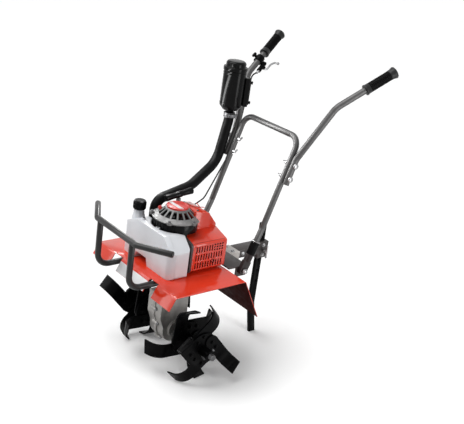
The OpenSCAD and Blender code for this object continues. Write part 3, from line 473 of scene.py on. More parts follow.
def add_turned(bm, rows, matrix, steps=32):
    """Turns a half section of rows (radius, height) about Z and places it."""
    verts = [bm.verts.new((radius, 0.0, height)) for radius, height in rows]
    edges = [bm.edges.new(pair) for pair in zip(verts, verts[1:])]
    bmesh.ops.spin(
        bm, geom=verts + edges, cent=(0, 0, 0), axis=Z, angle=2 * math.pi, steps=steps, use_merge=True
    )
    new = set(verts)
    stack = list(verts)
    while stack:
        for edge in stack.pop().link_edges:
            for vert in edge.verts:
                if vert not in new:
                    new.add(vert)
                    stack.append(vert)
    bmesh.ops.remove_doubles(bm, verts=list(new), dist=0.000005)
    new = [vert for vert in new if vert.is_valid]
    mended(bm, new)
    bmesh.ops.transform(bm, matrix=matrix, verts=new)


def add_box(bm, size, matrix, bevel=0.0, segments=2):
    """A block of the given size, centred on matrix, with rounded edges."""
    verts = bmesh.ops.create_cube(bm, size=1.0)["verts"]
    bmesh.ops.scale(bm, vec=size, verts=verts)
    if bevel > 0:
        edges = list({edge for vert in verts for edge in vert.link_edges})
        verts = rounded_over(bm, verts, edges, bevel, segments)
    bmesh.ops.transform(bm, matrix=matrix, verts=verts)


def add_prism(bm, sides, radius, low, high, matrix, bevel=0.0):
    """An upright prism or cylinder from low to high, with its rim rounded."""
    verts = bmesh.ops.create_cone(
        bm, cap_ends=True, segments=sides, radius1=radius, radius2=radius, depth=high - low
    )["verts"]
    bmesh.ops.translate(bm, vec=(0, 0, (low + high) / 2), verts=verts)
    if bevel > 0:
        rim = [
            edge for edge in {edge for vert in verts for edge in vert.link_edges}
            if all(vert.co.z > high - 1e-6 for vert in edge.verts)
        ]
        verts = rounded_over(bm, verts, rim, bevel)
    bmesh.ops.transform(bm, matrix=matrix, verts=verts)


def add_bolt(bm, width, matrix):
    """A hexagon bolt's head on its washer, standing on the place that matrix gives."""
    add_prism(bm, 20, width * 0.62, -width * 0.05, width * 0.10, matrix, width * 0.03)
    add_prism(bm, 6, width * 0.5, width * 0.10, width * 0.46, matrix, width * 0.07)


# Half section of a screw's head, for a head of width 1

SCREW_HEAD = ((0.5, -0.05), (0.5, 0.3), (0.42, 0.38), (0.24, 0.38), (0.22, 0.12), (0, 0.12))


def add_screw(bm, width, matrix):
    """A socket screw's round head."""
    add_turned(bm, [(width * radius, width * height) for radius, height in SCREW_HEAD], matrix, 18)


def add_path(bm, points, radius, sides=12, caps=True):
    """A round bar along points, made from one circle that is extruded from point to point."""
    points = [Vector(point) for point in points]
    last = len(points) - 1
    ways = [(points[min(i + 1, last)] - points[max(i - 1, 0)]).normalized() for i in range(last + 1)]
    ring = bmesh.ops.create_circle(bm, cap_ends=caps, radius=radius, segments=sides)["verts"]
    turn = Z.rotation_difference(ways[0])
    bmesh.ops.transform(bm, matrix=Matrix.Translation(points[0]) @ turn.to_matrix().to_4x4(), verts=ring)
    made = list(ring)
    loop = list({edge for vert in ring for edge in vert.link_edges})
    for i in range(1, len(points)):
        grown = bmesh.ops.extrude_edge_only(bm, edges=loop)["geom"]
        ring = verts_in(grown)
        loop = [item for item in grown if isinstance(item, bmesh.types.BMEdge)
                and all(vert in set(ring) for vert in item.verts)]
        swing = ways[i - 1].rotation_difference(ways[i]).to_matrix().to_4x4()
        place = Matrix.Translation(points[i]) @ swing @ Matrix.Translation(-points[i - 1])
        bmesh.ops.transform(bm, matrix=place, verts=ring)
        made += ring
    if caps:
        bmesh.ops.contextual_create(bm, geom=loop)
    mended(bm, made)


def rounded_path(corners, radius, steps=6):
    """Points along straight legs between corners, with an arc of the given radius at each inner corner."""
    corners = [Vector(corner) for corner in corners]
    out = [corners[0]]
    for a, b, c in zip(corners, corners[1:], corners[2:]):
        before, after = (b - a).normalized(), (c - b).normalized()
        turn = before.angle(after)
        inward = (after - before * after.dot(before)).normalized()
        centre = b - before * (radius * math.tan(turn / 2)) + inward * radius
        for k in range(steps + 1):
            angle = turn * k / steps
            out.append(centre + radius * (before * math.sin(angle) - inward * math.cos(angle)))
    return out + [corners[-1]]


# Deck

PLATE = (0.1575, 0.0365, 0.0016)
PLATE_BELOW_TOP = 0.0225
RIVET = mm((2.3, -0.4), (2.2, 0.4), (1.4, 0.9), (0, 1.1))
RIVET_OUT = 0.0745
# Faces whose normal sinks below this take the painted shade of the underside.
LOOKS_DOWN = -0.15


def dress_deck():
    sheet = softened("deck", sizes().sheet_edge).data
    # Faces that look down take a far darker red, which is painted shade, with a duller coat.
    sheet.materials.append(finish("underside"))
    for face in sheet.polygons:
        if face.normal.z < LOOKS_DOWN:
            face.material_index = 1
    front = seated("deck", (DECK_HIGH.x + AWAY, 0, DECK_HIGH.z - PLATE_BELOW_TOP), -X)
    bm = bmesh.new()
    add_box(bm, PLATE, front @ Matrix.Translation((0, -0.0015, 0)), 0.0005)
    piece("front_plate", bm, "bare_steel", look="plate")
    bm = bmesh.new()
    for side in SIDES:
        add_turned(bm, RIVET, front @ Matrix.Translation((side * RIVET_OUT, 0, 0.0008)), 18)
    piece("plate_rivets", bm, "bare_steel")


# Bumper

# Left end of the bar, and the weld round the left upright just outside the bar's surface
BUMPER_END = Vector((0.35394, 0.213, 0.51727))
BUMPER_WAY = Vector((-0.062, 0.101, 0.002)).normalized()
PLUG = mm((0, -12), (7.6, -12), (7.6, -0.2), (9.8, 0), (9.8, 1.6), (8.4, 2.8), (0, 3.1))
UPRIGHT_X, UPRIGHT_Y = 0.41594, 0.092
WELD_ACROSS, WELD_ALONG = 0.0090, 0.0104
WELD_DEPTH = 0.0102
WELD_RADIUS = 0.0009


def dress_bumper():
    tubes = ("bumper_bar", "bumper_upright_left", "bumper_upright_right")
    soften(tubes, sizes().sheet_edge, "bumper_paint")
    bm = bmesh.new()
    for _, _, turn in HANDS:
        add_turned(bm, PLUG, pointing(turn(BUMPER_END), turn(BUMPER_WAY)), 28)
    piece("bumper_plugs", bm, "black_plastic")
    bm = bmesh.new()
    for side in SIDES:
        add_path(bm, [weld_point(side, angle) for angle in circle(28)], WELD_RADIUS, 8, caps=False)
    piece("bumper_welds", bm, "grey_paint", look="bumper_paint")


def weld_point(side, angle):
    """Point at an angle round the weld of an upright."""
    across = WELD_ACROSS * math.cos(angle)
    sunk = 0.0003 + math.sqrt(WELD_DEPTH ** 2 - across ** 2)
    y = side * (UPRIGHT_Y + WELD_ALONG * math.sin(angle))
    return Vector((UPRIGHT_X + across, y, middle_of("bumper_bar").z - sunk))


# Drive

# Places of the bolts round the joint, forward of and above the axle
ROUND_THE_CASE = (
    (0.0675, 0.118), (0.0675, 0.074), (0.0545, 0.018), (0.036, -0.040),
    (-0.005, -0.0535), (-0.044, -0.030), (-0.051, 0.030), (-0.0475, 0.104),
)
BOSS = mm((7.4, -12.2), (7.4, -1.2), (6.4, 0), (0, 0))
BOSS_OUT = 0.0125
CASE_BOLT = 0.0105
TUBE_BOLT, TUBE_BOLTS_OUT = 0.0078, 0.0402
SEAL_SCREW, SEAL_SCREWS_OUT = 0.0065, 0.0255


def dress_drive():
    soften(("drive_tube", "gear_case_left", "gear_case_right"), sizes().edge)
    bosses, bolts = bmesh.new(), bmesh.new()
    for x, z in ROUND_THE_CASE:
        for side in SIDES:
            face = pointing(AXLE + Vector((x, side * BOSS_OUT, z)), side * Y)
            add_turned(bosses, BOSS, face, 24)
            add_bolt(bolts, CASE_BOLT, face)
    for degrees in (45, 135, 225, 315):
        below = Vector((CRANK.x, 0, DECK_HIGH.z - 0.06)) + swung(X, degrees, "Z") * TUBE_BOLTS_OUT
        add_bolt(bolts, TUBE_BOLT, seated("drive_tube", below, Z, math.radians(degrees)))
    for name, side, _ in HANDS[::-1]:
        for degrees in (90, 210, 330):
            aside = AXLE + side * AWAY * Y + swung(X, -degrees, "Y") * SEAL_SCREWS_OUT
            add_screw(bolts, SEAL_SCREW, seated("gear_case_" + name, aside, -side * Y))
    piece("gear_case_bosses", bosses, "cast_aluminium")
    piece("gear_case_bolts", bolts, "bare_steel")


# Tines

# Wheel, its place along the shaft, where its first tip stands from straight down and its pin's turn
WHEELS = (
    ("tine_wheel_left_inner", 0.108, -22.5, 125), ("tine_wheel_left_outer", 0.195, 22.5, 35),
    ("tine_wheel_right_inner", -0.108, -22.5, 125), ("tine_wheel_right_outer", -0.195, 22.5, 35),
)
TIP_ANGLE = 26.99
BLADE_BOLTS = ((0.003, -0.040), (0.031, -0.040))
BLADE_BOLT = 0.0115
PIN_OUT = 0.033
PIN = mm((0, -23.5), (5.5, -23.5), (5.8, -20), (3.5, -19.5), (3.5, 22.5), (0, 23.2))
RING_ALONG, RING_ASIDE = 0.0205, 0.0062
RING_RADIUS, RING_WIRE = 0.0085, 0.0011


def dress_tines():
    softened("tine_shaft", sizes().sheet_edge, look="dark_zinc")
    bolts, pins = bmesh.new(), bmesh.new()
    for node, y, first, pin_turn in WHEELS:
        softened(node, sizes().sheet_edge)
        for k in range(4):
            turn = Matrix.Rotation(math.radians(90 - first - TIP_ANGLE - 90 * k), 3, "Y")
            for u, v in BLADE_BOLTS:
                place = AXLE + turn @ Vector((u, 0, v)) + y * Y
                for side in SIDES:
                    add_bolt(bolts, BLADE_BOLT, seated(node, place + side * 0.03 * Y, -side * Y, k))
        middle = AXLE + (y + math.copysign(PIN_OUT, y)) * Y
        add_pin(pins, middle, swung(X, pin_turn, "Y"))
    piece("blade_bolts", bolts, "bare_steel", "tines", look="black_paint")
    piece("hub_pins", pins, "bare_steel", "tines", look="dark_zinc")


def add_pin(bm, middle, way):
    """A headed pin through a hub, kept by a ring."""
    aside = way.cross(Y)
    add_turned(bm, PIN, pointing(middle, way), 18)
    centre = middle + way * RING_ALONG + aside * RING_ASIDE
    r = RING_RADIUS
    ring = [centre + r * (Y * math.cos(angle) + aside * math.sin(angle)) for angle in circle(20)]
    add_path(bm, ring, RING_WIRE, 7, caps=False)


# Engine

BAND_RADIUS, BAND_HEIGHT = 0.0350, 0.0009
BAND_SPAN = (0.0015, 0.0150)
CAP_RIM = mm((30, -0.5), (30.3, 0.7), (32, 1.1), (33.7, 0.7), (34, -0.5))
BUTTON = mm((0, -4), (6.2, -4), (6.2, 7), (5, 8.8), (0, 9.2))
BUTTON_PLACE, BUTTON_WAY = Vector((0.0322, -0.0482, 0)), Vector((0.35, -0.5, 1.0))
EAR = mm((0, 0), (7.8, 0), (7.8, 8.5), (6.8, 9.6), (0, 9.6))
EAR_HEIGHT, EARS_OUT, EAR_SCREW = 0.0096, 0.0805, 0.0098
EAR_DEGREES = (-104, -38, 38, 98)
FAN_RIB, FAN_RIBS_OUT = (0.0024, 0.022, 0.0040), 0.0744
STARTER_WAY = swung(X, 8, "Y")
MUFFLER_SCREW, COVER_SCREW, CARBURETTOR_BOLT = 0.0060, 0.0078, 0.0085
COVER_RIB, COVER_RIB_STEP = (0.0032, 0.052, 0.0026), 0.0075
CRIMP_STEP = 0.0085


def dress_engine():
    castings = ("clutch_housing", "crankcase", "fan_housing", "cylinder_cover", "carburettor")
    soften(castings, sizes().edge)
    softened("muffler", sizes().edge, look="dark_paint")
    soften(("recoil_cover", "recoil_cap", "muffler_cover", "heat_shield"), sizes().sheet_edge)
    cap_top = Vector((CRANK.x, CRANK.y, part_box("recoil_cap")[1].z))
    starter_band(cap_top)
    starter_button(cap_top)
    starter_ears()
    fan_ribs()
    starter_grip()
    engine_screws()
    cover_ribs()
    muffler_outlet()
    grille_screen()


def starter_band(cap_top):
    """The blank band across the starter's cap."""
    bm = bmesh.new()
    bmesh.ops.create_circle(bm, cap_ends=True, radius=BAND_RADIUS, segments=72)
    sliced(bm, *BAND_SPAN)
    raised = verts_in(bmesh.ops.extrude_face_region(bm, geom=bm.faces[:])["geom"])
    bmesh.ops.translate(bm, vec=BAND_HEIGHT * Z, verts=raised)
    bmesh.ops.recalc_face_normals(bm, faces=bm.faces[:])
    bmesh.ops.translate(bm, vec=cap_top - 0.0001 * Z, verts=bm.verts[:])
    piece("starter_band", bm, "bare_steel", look="plate")


def starter_button(cap_top):
    """The raised rim of the starter's cap, and the button beside it."""
    bm = bmesh.new()
    add_turned(bm, CAP_RIM, pointing(cap_top, Z), 72)
    seat = seated("recoil_cover", cap_top + BUTTON_PLACE + AWAY * Z, -Z)
    add_turned(bm, BUTTON, pointing(seat.translation, BUTTON_WAY), 24)
    piece("starter_button", bm, "red_plastic")


def starter_ears():
    """Ears round the foot of the starter's dome, with their screws."""
    ears, screws = bmesh.new(), bmesh.new()
    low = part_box("recoil_cover")[0].z
    for degrees in EAR_DEGREES:
        foot = Vector((CRANK.x, 0, low)) + swung(X, degrees, "Z") * EARS_OUT
        add_turned(ears, EAR, pointing(foot, Z), 24)
        head = pointing(foot + EAR_HEIGHT * Z, Z, math.radians(degrees))
        add_screw(screws, EAR_SCREW, head)
    piece("starter_ears", ears, "grey_plastic")
    piece("starter_screws", screws, "bare_steel", look="dark_zinc")


def fan_ribs():
    """Upright ribs on the front and the right of the fan housing."""
    bm = bmesh.new()
    middle = Vector((CRANK.x, CRANK.y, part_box("fan_housing")[1].z - 0.013))
    for degrees in range(-108, 53, 10):
        out = swung(X, degrees, "Z")
        add_box(bm, FAN_RIB, pointing(middle + FAN_RIBS_OUT * out, out), 0.0008)
    piece("fan_ribs", bm, SLOT_OF["fan_housing"])


def starter_grip():
    """The starter's grip, waisted on both sides of its middle."""
    low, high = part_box("recoil_grip")
    r = (high.y - low.y) / 2
    half = ((high.x - low.x) / 2 - r) / STARTER_WAY.x + r - 0.0005
    rows = [
        (r * 0.97, 0.007), (r * 0.86, 0.010), (r * 0.84, 0.014), (r * 0.88, half - 0.024),
        (r, half - 0.006), (r * 0.96, half - 0.002), (r * 0.76, half), (0, half),
    ]
    rows = [(radius, -height) for radius, height in reversed(rows)] + rows
    bm = bmesh.new()
    add_turned(bm, rows, pointing((low + high) / 2, STARTER_WAY), 36)
    piece("starter_grip", bm, "black_plastic", replaces=["recoil_grip"])


def engine_screws():
    """Screws of the red covers, and the bolts of the carburettor."""
    bm = bmesh.new()
    low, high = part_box("muffler_cover")
    for x in (low.x + 0.009, high.x - 0.009):
        for z in (low.z + 0.011, low.z + 0.092):
            add_screw(bm, MUFFLER_SCREW, seated("muffler_cover", (x, high.y + AWAY, z), -Y))
    piece("muffler_screws", bm, "bare_steel", look="red_paint")
    bm = bmesh.new()
    low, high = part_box("cylinder_cover")
    for y in (low.y + 0.012, high.y - 0.014):
        above = (high.x - 0.016, y, high.z + AWAY)
        add_screw(bm, COVER_SCREW, seated("cylinder_cover", above, -Z))
    for z in (low.z + 0.02, low.z + 0.07):
        for y in (low.y + 0.014, high.y - 0.03):
            add_screw(bm, COVER_SCREW, seated("cylinder_cover", (low.x - AWAY, y, z), X))
    low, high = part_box("carburettor")
    for x in (low.x + 0.010, high.x - 0.010):
        for z in (low.z + 0.010, high.z - 0.012):
            add_bolt(bm, CARBURETTOR_BOLT, seated("carburettor", (x, low.y - AWAY, z), Y))
    piece("cover_screws", bm, "bare_steel", look="dark_zinc")


def cover_ribs():
    """Ribs across the top of the cylinder cover."""
    bm = bmesh.new()
    low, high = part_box("cylinder_cover")
    for k in range(6):
        x = high.x - 0.026 - COVER_RIB_STEP * k
        face = seated("cylinder_cover", (x, (low.y + high.y) / 2, high.z + AWAY), -Z)
        add_box(bm, COVER_RIB, pointing(face.translation, face.col[2].xyz), 0.0012)
    piece("cover_ribs", bm, "red_paint")


def muffler_outlet():
    """The muffler's outlet in the grille."""
    low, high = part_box("muffler_cover")
    foot = seated("muffler", (low.x + 0.0517, high.y + AWAY, low.z + 0.029), -Y).translation
    reach = high.y - foot.y + 0.0012
    rows = [
        (0.0052, -0.001), (0.0052, reach), (0.0068, reach + 0.0006), (0.0072, reach - 0.001),
        (0.0072, -0.001),
    ]
    bm = bmesh.new()
    add_turned(bm, rows, pointing(foot, Y), 28)
    piece("muffler_outlet", bm, "black_paint")


def grille_screen():
    """The dark crimped screen behind the slots of the grille."""
    low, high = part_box("muffler_cover")
    wide = high.x - low.x
    middle = Vector(((low.x + high.x) / 2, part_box("muffler")[1].y + 0.0030, low.z + 0.053))
    bm = bmesh.new()
    add_box(bm, (wide - 0.010, 0.0012, 0.094), Matrix.Translation(middle), 0.0004)
    for k in range(-5, 6):
        crimp = Matrix.Translation(middle + Vector((0, 0.0005, CRIMP_STEP * k)))
        add_box(bm, (wide - 0.016, 0.0018, 0.0022), crimp, 0.0007)
    piece("grille_screen", bm, "black_paint")


# Fuel tank

CAP_RIBS = 30
TANK_SCREWS = ((0.26794, -0.067), (0.26794, 0.013))
TANK_SCREW = 0.0082
SEAM_SHARE, SEAM_HALF, SEAM_HEIGHT, SEAM_DEPTH = 0.72, 0.0007, 0.0003, 0.0010


def dress_tank():
    softened("fuel_tank", sizes().tank_edge, 4)
    tank_seam()
    tank_cap()
    bm = bmesh.new()
    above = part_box("fuel_cap")[1].z + AWAY
    for x, y in TANK_SCREWS:
        add_screw(bm, TANK_SCREW, seated("fuel_tank", (x, y, above), -Z))
    piece("tank_screws", bm, "bare_steel", look="dark_zinc")


def tank_seam():
    """The moulding seam round the tank's middle."""
    bm = bmesh.new()
    bm.from_mesh(bpy.data.objects["fuel_tank_dressed"].data)
    low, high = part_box("fuel_tank")
    middle = low.x + SEAM_SHARE * (high.x - low.x)
    sliced(bm, middle - SEAM_HALF, middle + SEAM_HALF)
    bm.normal_update()
    for vert in bm.verts:
        vert.co += SEAM_HEIGHT * vert.normal
    rims = [edge for edge in bm.edges if edge.is_boundary]
    for vert in verts_in(bmesh.ops.extrude_edge_only(bm, edges=rims)["geom"]):
        vert.co -= SEAM_DEPTH * vert.normal
    bmesh.ops.recalc_face_normals(bm, faces=bm.faces[:])
    piece("tank_seam", bm, "tank_plastic")


def tank_cap():
    """The tank's cap, ribbed round its side and dished on top."""
    low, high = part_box("fuel_cap")
    r, h = (high.x - low.x) / 2, high.z - low.z
    middle = middle_of("fuel_cap")
    place = pointing(Vector((middle.x, middle.y, low.z)), Z)
    rows = [
        (0, 0), (r * 0.90, 0), (r * 0.93, 0.001), (r * 0.93, h - 0.0045), (r * 0.86, h - 0.001),
        (r * 0.74, h), (r * 0.70, h - 0.0012), (0, h - 0.0012),
    ]
    bm = bmesh.new()
    add_turned(bm, rows, place, 56)
    for angle in circle(CAP_RIBS)[:-1]:
        rib = place @ Matrix.Rotation(angle, 4, "Z") @ Matrix.Translation((r * 0.935, 0, h * 0.46))
        add_box(bm, (r * 0.11, 0.0021, h * 0.72), rib, 0.0006, 1)
    piece("fuel_cap_ribbed", bm, "black_plastic", replaces=["fuel_cap"])


# Intake

CLAMP_WAY, CLAMP_OUT = Vector((0.35, 0.94, 0)).normalized(), 0.0218
CLAMP_BOLT = 0.0088
CLAMP_BEAD = mm((19.5, -0.8), (20.6, -0.8), (20.9, 0), (20.6, 0.8), (19.5, 0.8))
PANEL_WAY, PANEL_OUT, PANEL_BELOW_TOP = Vector((-0.80, 0.60, 0)), 0.0475, 0.070
PANEL_KNOB = mm((0, -1), (4.4, -1), (4.4, 2), (5.6, 2.8), (5.6, 6), (4.6, 6.8), (0, 6.8))
CLEANER_BEAD = mm((39.2, -3), (40.4, -2.4), (40.7, 0), (40.4, 2.4), (39.2, 3))


def dress_intake():
    soften(("air_cleaner", "air_cleaner_bracket"), sizes().edge)
    softened("air_cleaner_lid", sizes().edge * 2.5, 4)
    softened("hose_clamp", sizes().sheet_edge, look="dark_zinc")
    softened("intake_hose", 0.0)
    clamp_screw()
    low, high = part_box("air_cleaner")
    axis = middle_of("air_cleaner").xy
    cleaner_panel(axis.to_3d() + (high.z - PANEL_BELOW_TOP) * Z)
    bm = bmesh.new()
    for z in (low.z + 0.034, high.z - 0.008):
        add_turned(bm, CLEANER_BEAD, pointing(axis.to_3d() + z * Z, Z), 72)
    piece("air_cleaner_beads", bm, "black_plastic")


def clamp_screw():
    """The hose clamp's screw in its housing, and the band's rolled edges."""
    bm = bmesh.new()
    middle = middle_of("hose_clamp")
    box = pointing(middle + CLAMP_OUT * CLAMP_WAY, CLAMP_WAY)
    add_box(bm, (0.020, 0.0125, 0.0095), box, 0.0015)
    add_box(bm, (0.007, 0.0140, 0.0075), box @ Matrix.Translation((0.0125, 0, 0)), 0.001)
    head = Matrix.Translation((0.0155, 0, 0)) @ Matrix.Rotation(math.pi / 2, 4, "Y")
    add_bolt(bm, CLAMP_BOLT, box @ head)
    for z in (-0.0072, 0.0072):
        add_turned(bm, CLAMP_BEAD, pointing(middle + z * Z, Z), 48)
    piece("hose_clamp_screw", bm, "bare_steel", look="dark_zinc")


def cleaner_panel(middle):
    """The raised panel on the air cleaner's side, with its two knobs."""
    bm = bmesh.new()
    plate = pointing(middle + PANEL_OUT * PANEL_WAY, PANEL_WAY)
    add_box(bm, (0.029, 0.100, 0.017), plate, 0.0025, 3)
    add_box(bm, (0.020, 0.086, 0.006), plate @ Matrix.Translation((0, 0, 0.009)), 0.0015)
    for y in (-0.036, 0.034):
        add_turned(bm, PANEL_KNOB, plate @ Matrix.Translation((0, y, 0.0115)), 20)
    piece("air_cleaner_side", bm, "black_plastic")


# Rear bracket and stake

SMALL_BOLT = 0.8


def dress_rear():
    softened("hitch_block", sizes().edge * 1.6, 3)
    sheets = ("rear_bracket", "hitch_channel", "stake_holder", "stake_screw", "stake")
    soften(sheets, sizes().sheet_edge)
    bm = bmesh.new()
    small = sizes().bolt * SMALL_BOLT
    low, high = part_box("rear_bracket")
    above = high.z + AWAY
    for side in SIDES:
        for x in (high.x - 0.012, high.x - 0.034):
            add_bolt(bm, small, seated("rear_bracket", (x, side * 0.034, above), -Z, side))
        add_bolt(bm, small, seated("rear_bracket", (low.x + 0.012, side * 0.020, above), -Z))
    low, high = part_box("hitch_block")
    for y in (-0.018, 0.018):
        add_bolt(bm, sizes().bolt, seated("hitch_block", (low.x + 0.026, y, high.z + AWAY), -Z, y))
    low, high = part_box("hitch_channel")
    for x in (low.x + 0.03, high.x - 0.02):
        for side in SIDES:
            add_bolt(bm, small, seated("hitch_channel", (x, side * AWAY, high.z - 0.014), -side * Y))
    low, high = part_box("stake_holder")
    for z in (low.z + 0.012, high.z - 0.012):
        add_bolt(bm, small, seated("stake_holder", ((low.x + high.x) / 2, AWAY, z), -Y))
    piece("rear_bolts", bm, "bare_steel")


# Handles

# Foot and top of the left handle's lap on the frame, with the places of its bolts between them
LAP_LOW, LAP_TOP = Vector((-0.12359, 0.15910, 0.66111)), Vector((-0.15244, 0.15910, 0.74636))
LAP_SHARES = (0.24, 0.76)
LAP_HEAD = mm((10.2, -1), (10.2, 1.4), (9, 3.6), (6, 5.2), (0, 5.8))
WING_NUT = mm((0, -0.4), (6.8, -0.4), (6.8, 3), (4.8, 10), (0, 10))
WING = (0.0105, 0.0026, 0.006)

# Bolt at the foot of the left arm, and the arm's slant
ARM_BOLT = Vector((-0.01006, 0.13800, 0.36027))
ARM_WAY = swung(Z, -22.8, "Y")
ARM_NUT = 0.0145
SLEEVE_UP = 0.060
SLEEVE = mm((13.4, 0), (14.8, 0.2), (15.3, 1.6), (15.3, 43), (13.4, 44.5))
ARM_RING = mm((10.2, 45.8), (14.8, 45.8), (15.4, 46.6), (14.8, 47.6), (10.2, 47.6))

# Grip from its closed outer end, its ribs, and its inner end and back along the tube
GRIP_OUTER = mm(
    (0, 0.1), (15, 0.1), (18.5, 1.2), (20.3, 3.6), (19.8, 7.5), (18, 12.5), (16.9, 18), (16.7, 24)
)
GRIP_RADIUS, GRIP_RIBS, FIRST_RIB, RIB_STEP = 0.0154, 26, 0.0255, 0.0029
GRIP_INNER = mm(
    (16.7, 102.5), (16.9, 112), (18.2, 114.5), (18.4, 118.5), (17.2, 119.8), (11.2, 119.8), (11.2, 10)
)
RIBBED_SPAN = (0.0245, 0.1015)


def dress_handles():
    soften(("handle_frame", "handle_left", "handle_right", "handle_bolts"), sizes().sheet_edge)
    soften(("arm_left", "arm_right"), sizes().sheet_edge, "arm_paint")
    lap_bolts()
    arm_detail()
    for name, _, turn in HANDS:
        handle_grip(name, turn(HANDLE_END), turn(HANDLE_WAY))


def handle_grip(name, end, way):
    """A rubber grip, with paler smooth rubber beside its ribs."""
    bm = bmesh.new()
    add_turned(bm, GRIP_OUTER + grip_ribs() + GRIP_INNER, pointing(end, -way), 48)
    grip = piece("grip_%s_ribbed" % name, bm, "black_rubber", replaces=["grip_" + name], smooth=50)
    mesh = grip.data
    mesh.materials.append(finish("smooth_rubber"))
    low, high = RIBBED_SPAN
    for face in mesh.polygons:
        if not low < (end - face.center).dot(way) < high:
            face.material_index = 1


def grip_ribs():
    """Half section of a grip's ribs."""
    rows = []
    foot, top = GRIP_RADIUS, GRIP_RADIUS + sizes().rib
    for k in range(GRIP_RIBS):
        start = FIRST_RIB + k * RIB_STEP
        rows += [(foot, start), (top, start + 0.0006), (top, start + 0.0017), (foot, start + 0.0023)]
    return rows


def lap_bolts():
    """Bolts with wide heads outside and winged nuts inside, which clamp the handles to the frame."""
    bm = bmesh.new()
    for name, side, _ in HANDS:
        for share in LAP_SHARES:
            middle = LAP_LOW.lerp(LAP_TOP, share)
            outside = Vector((middle.x, side * 0.3, middle.z))
            add_turned(bm, LAP_HEAD, seated("handle_" + name, outside, -side * Y), 28)
            inside = Vector((middle.x, side * 0.05, middle.z))
            add_wing_nut(bm, seated("handle_frame", inside, side * Y, 0.6))
    piece("lap_bolts", bm, "bare_steel")


def add_wing_nut(bm, matrix):
    """A nut with two pointed wings."""
    add_turned(bm, WING_NUT, matrix, 18)
    for side in SIDES:
        place = Matrix.Translation((side * 0.0085, 0, 0.0095)) @ Matrix.Rotation(side * 0.75, 4, "Y")
        add_box(bm, WING, matrix @ place, 0.0011)


def arm_detail():
    """Rubber sleeves and steel rings on the arms, and the nuts of their bolts."""
    sleeves, rings, nuts = bmesh.new(), bmesh.new(), bmesh.new()
    for _, side, turn in HANDS:
        foot = pointing(turn(ARM_BOLT + SLEEVE_UP * ARM_WAY), ARM_WAY)
        add_turned(sleeves, SLEEVE, foot, 36)
        add_turned(rings, ARM_RING, foot, 36)
        outside = Vector((ARM_BOLT.x, side * 0.3, ARM_BOLT.z))
        add_bolt(nuts, ARM_NUT, seated("handle_bolts", outside, -side * Y, 0.3))
    piece("arm_sleeves", sleeves, "black_rubber")
    piece("arm_rings", rings, "bare_steel")
    piece("arm_nuts", nuts, "bare_steel")


# Throttle

# The cable's route from the lever's body, with its corners before they are rounded
CABLE_RUN = (
    (-0.275395, -0.218460, 0.942109), (-0.269051, -0.216391, 0.937695), (-0.249523, -0.221100, 0.927558),
    (-0.165893, -0.159100, 0.741802), (-0.137038, -0.159100, 0.656553), (-0.050125, -0.158000, 0.503159),
    (0.179040, -0.098000, 0.443270),
)
CABLE_BEND = 0.030
CABLE_WIDTH = 0.005

# Bracket's place back from the handle's end, and the lever's pivot out from it
BRACKET_BACK, PIVOT_OUT = 0.154, 0.024
FERRULE = mm((2.7, 0), (5.6, 0), (5.6, 4), (4.6, 4.5), (4.6, 10), (3.4, 13), (2.7, 13))
LEVER_TIP = mm((0, -5.2), (3, -4.6), (5, -2.4), (5.5, 0), (5, 2.4), (3, 4.6), (0, 5.2))
LEVER_KNOB = mm((0, -2), (5.5, -2), (5.5, 4), (8.5, 6), (8.5, 12.5), (6.8, 14.5), (0, 14.5))
KNOB_OUT, LOBES, LOBE = 0.0155, 8, (0.0026, 0.0032, 0.0062)
PIVOT_BOLT, PIVOT_HALF = 0.009, 0.0081


def dress_throttle():
    softened("throttle_bracket", sizes().edge)
    softened("throttle_lever", sizes().sheet_edge)
    throttle_cable()
    way = other_side(HANDLE_WAY)
    down = Vector((-0.3, 0.6, -0.75))
    out = (down - way * down.dot(way)).normalized()
    bracket = other_side(HANDLE_END) - BRACKET_BACK * way
    pivot = bracket + PIVOT_OUT * out
    bm = bmesh.new()
    add_turned(bm, FERRULE, pointing(pivot - 0.038 * way, -way), 20)
    tip = bracket + 0.047 * way + 0.063 * out
    add_turned(bm, LEVER_TIP, pointing(tip, 0.6 * way + 0.8 * out), 24)
    piece("throttle_ferrule", bm, "bare_steel")
    bm = bmesh.new()
    knob = pointing(bracket - KNOB_OUT * out, -out)
    add_turned(bm, LEVER_KNOB, knob, 20)
    for angle in circle(LOBES)[:-1]:
        lobe = knob @ Matrix.Rotation(angle, 4, "Z") @ Matrix.Translation((0.0085, 0, 0.0092))
        add_box(bm, LOBE, lobe, 0.0009)
    across = out.cross(way)
    for side in (1, -1):
        add_bolt(bm, PIVOT_BOLT, pointing(pivot + side * PIVOT_HALF * across, side * across))
    piece("throttle_knob", bm, "black_plastic")


def throttle_cable():
    """The sheathed cable from the lever down the handle to the carburettor."""
    path = rounded_path(CABLE_RUN, CABLE_BEND)
    bm = bmesh.new()
    add_path(bm, path, CABLE_WIDTH / 2, 14)
    sheath = piece("throttle_cable_sheath", bm, "black_rubber", replaces=["throttle_cable"])


# Stage

FLOOR_SIZE = 30.0
WHITE, FLOOR_SEEN, FLOOR_LIT = (1, 1, 1, 1), (0.98, 0.98, 0.98, 1), (0.28, 0.28, 0.28, 1)
FLOOR_GLOW, ROOM_LIGHT = 0.06, 0.16
SUN_PLACE, SUN_STRENGTH, SUN_SPREAD = Vector((0.44, -0.28, 1.0)), 2.85, 52

# Lamp, its place, its width and height, its power, and whether it lights more than gloss
STRIPS = (
    ("front", (1.42, -0.62, 0.68), (0.45, 1.25), 4.5, True),
    ("side", (-0.35, 1.50, 0.70), (0.60, 1.25), 13, True),
    ("left", (1.43, -1.30, 1.50), (0.60, 1.0), 7, False),
    ("near", (0.10, -0.26, 0.84), (0.12, 0.45), 4, False),
)
STRIPS_AIM = Vector((0.0, 0.0, 0.55))
EYE, AIM = Vector((1.79604, 2.03682, 1.58663)), Vector((-0.62545, -0.69005, -0.3642))
ROLL, LENS, SENSOR = 8.4, 66.73, 36.0


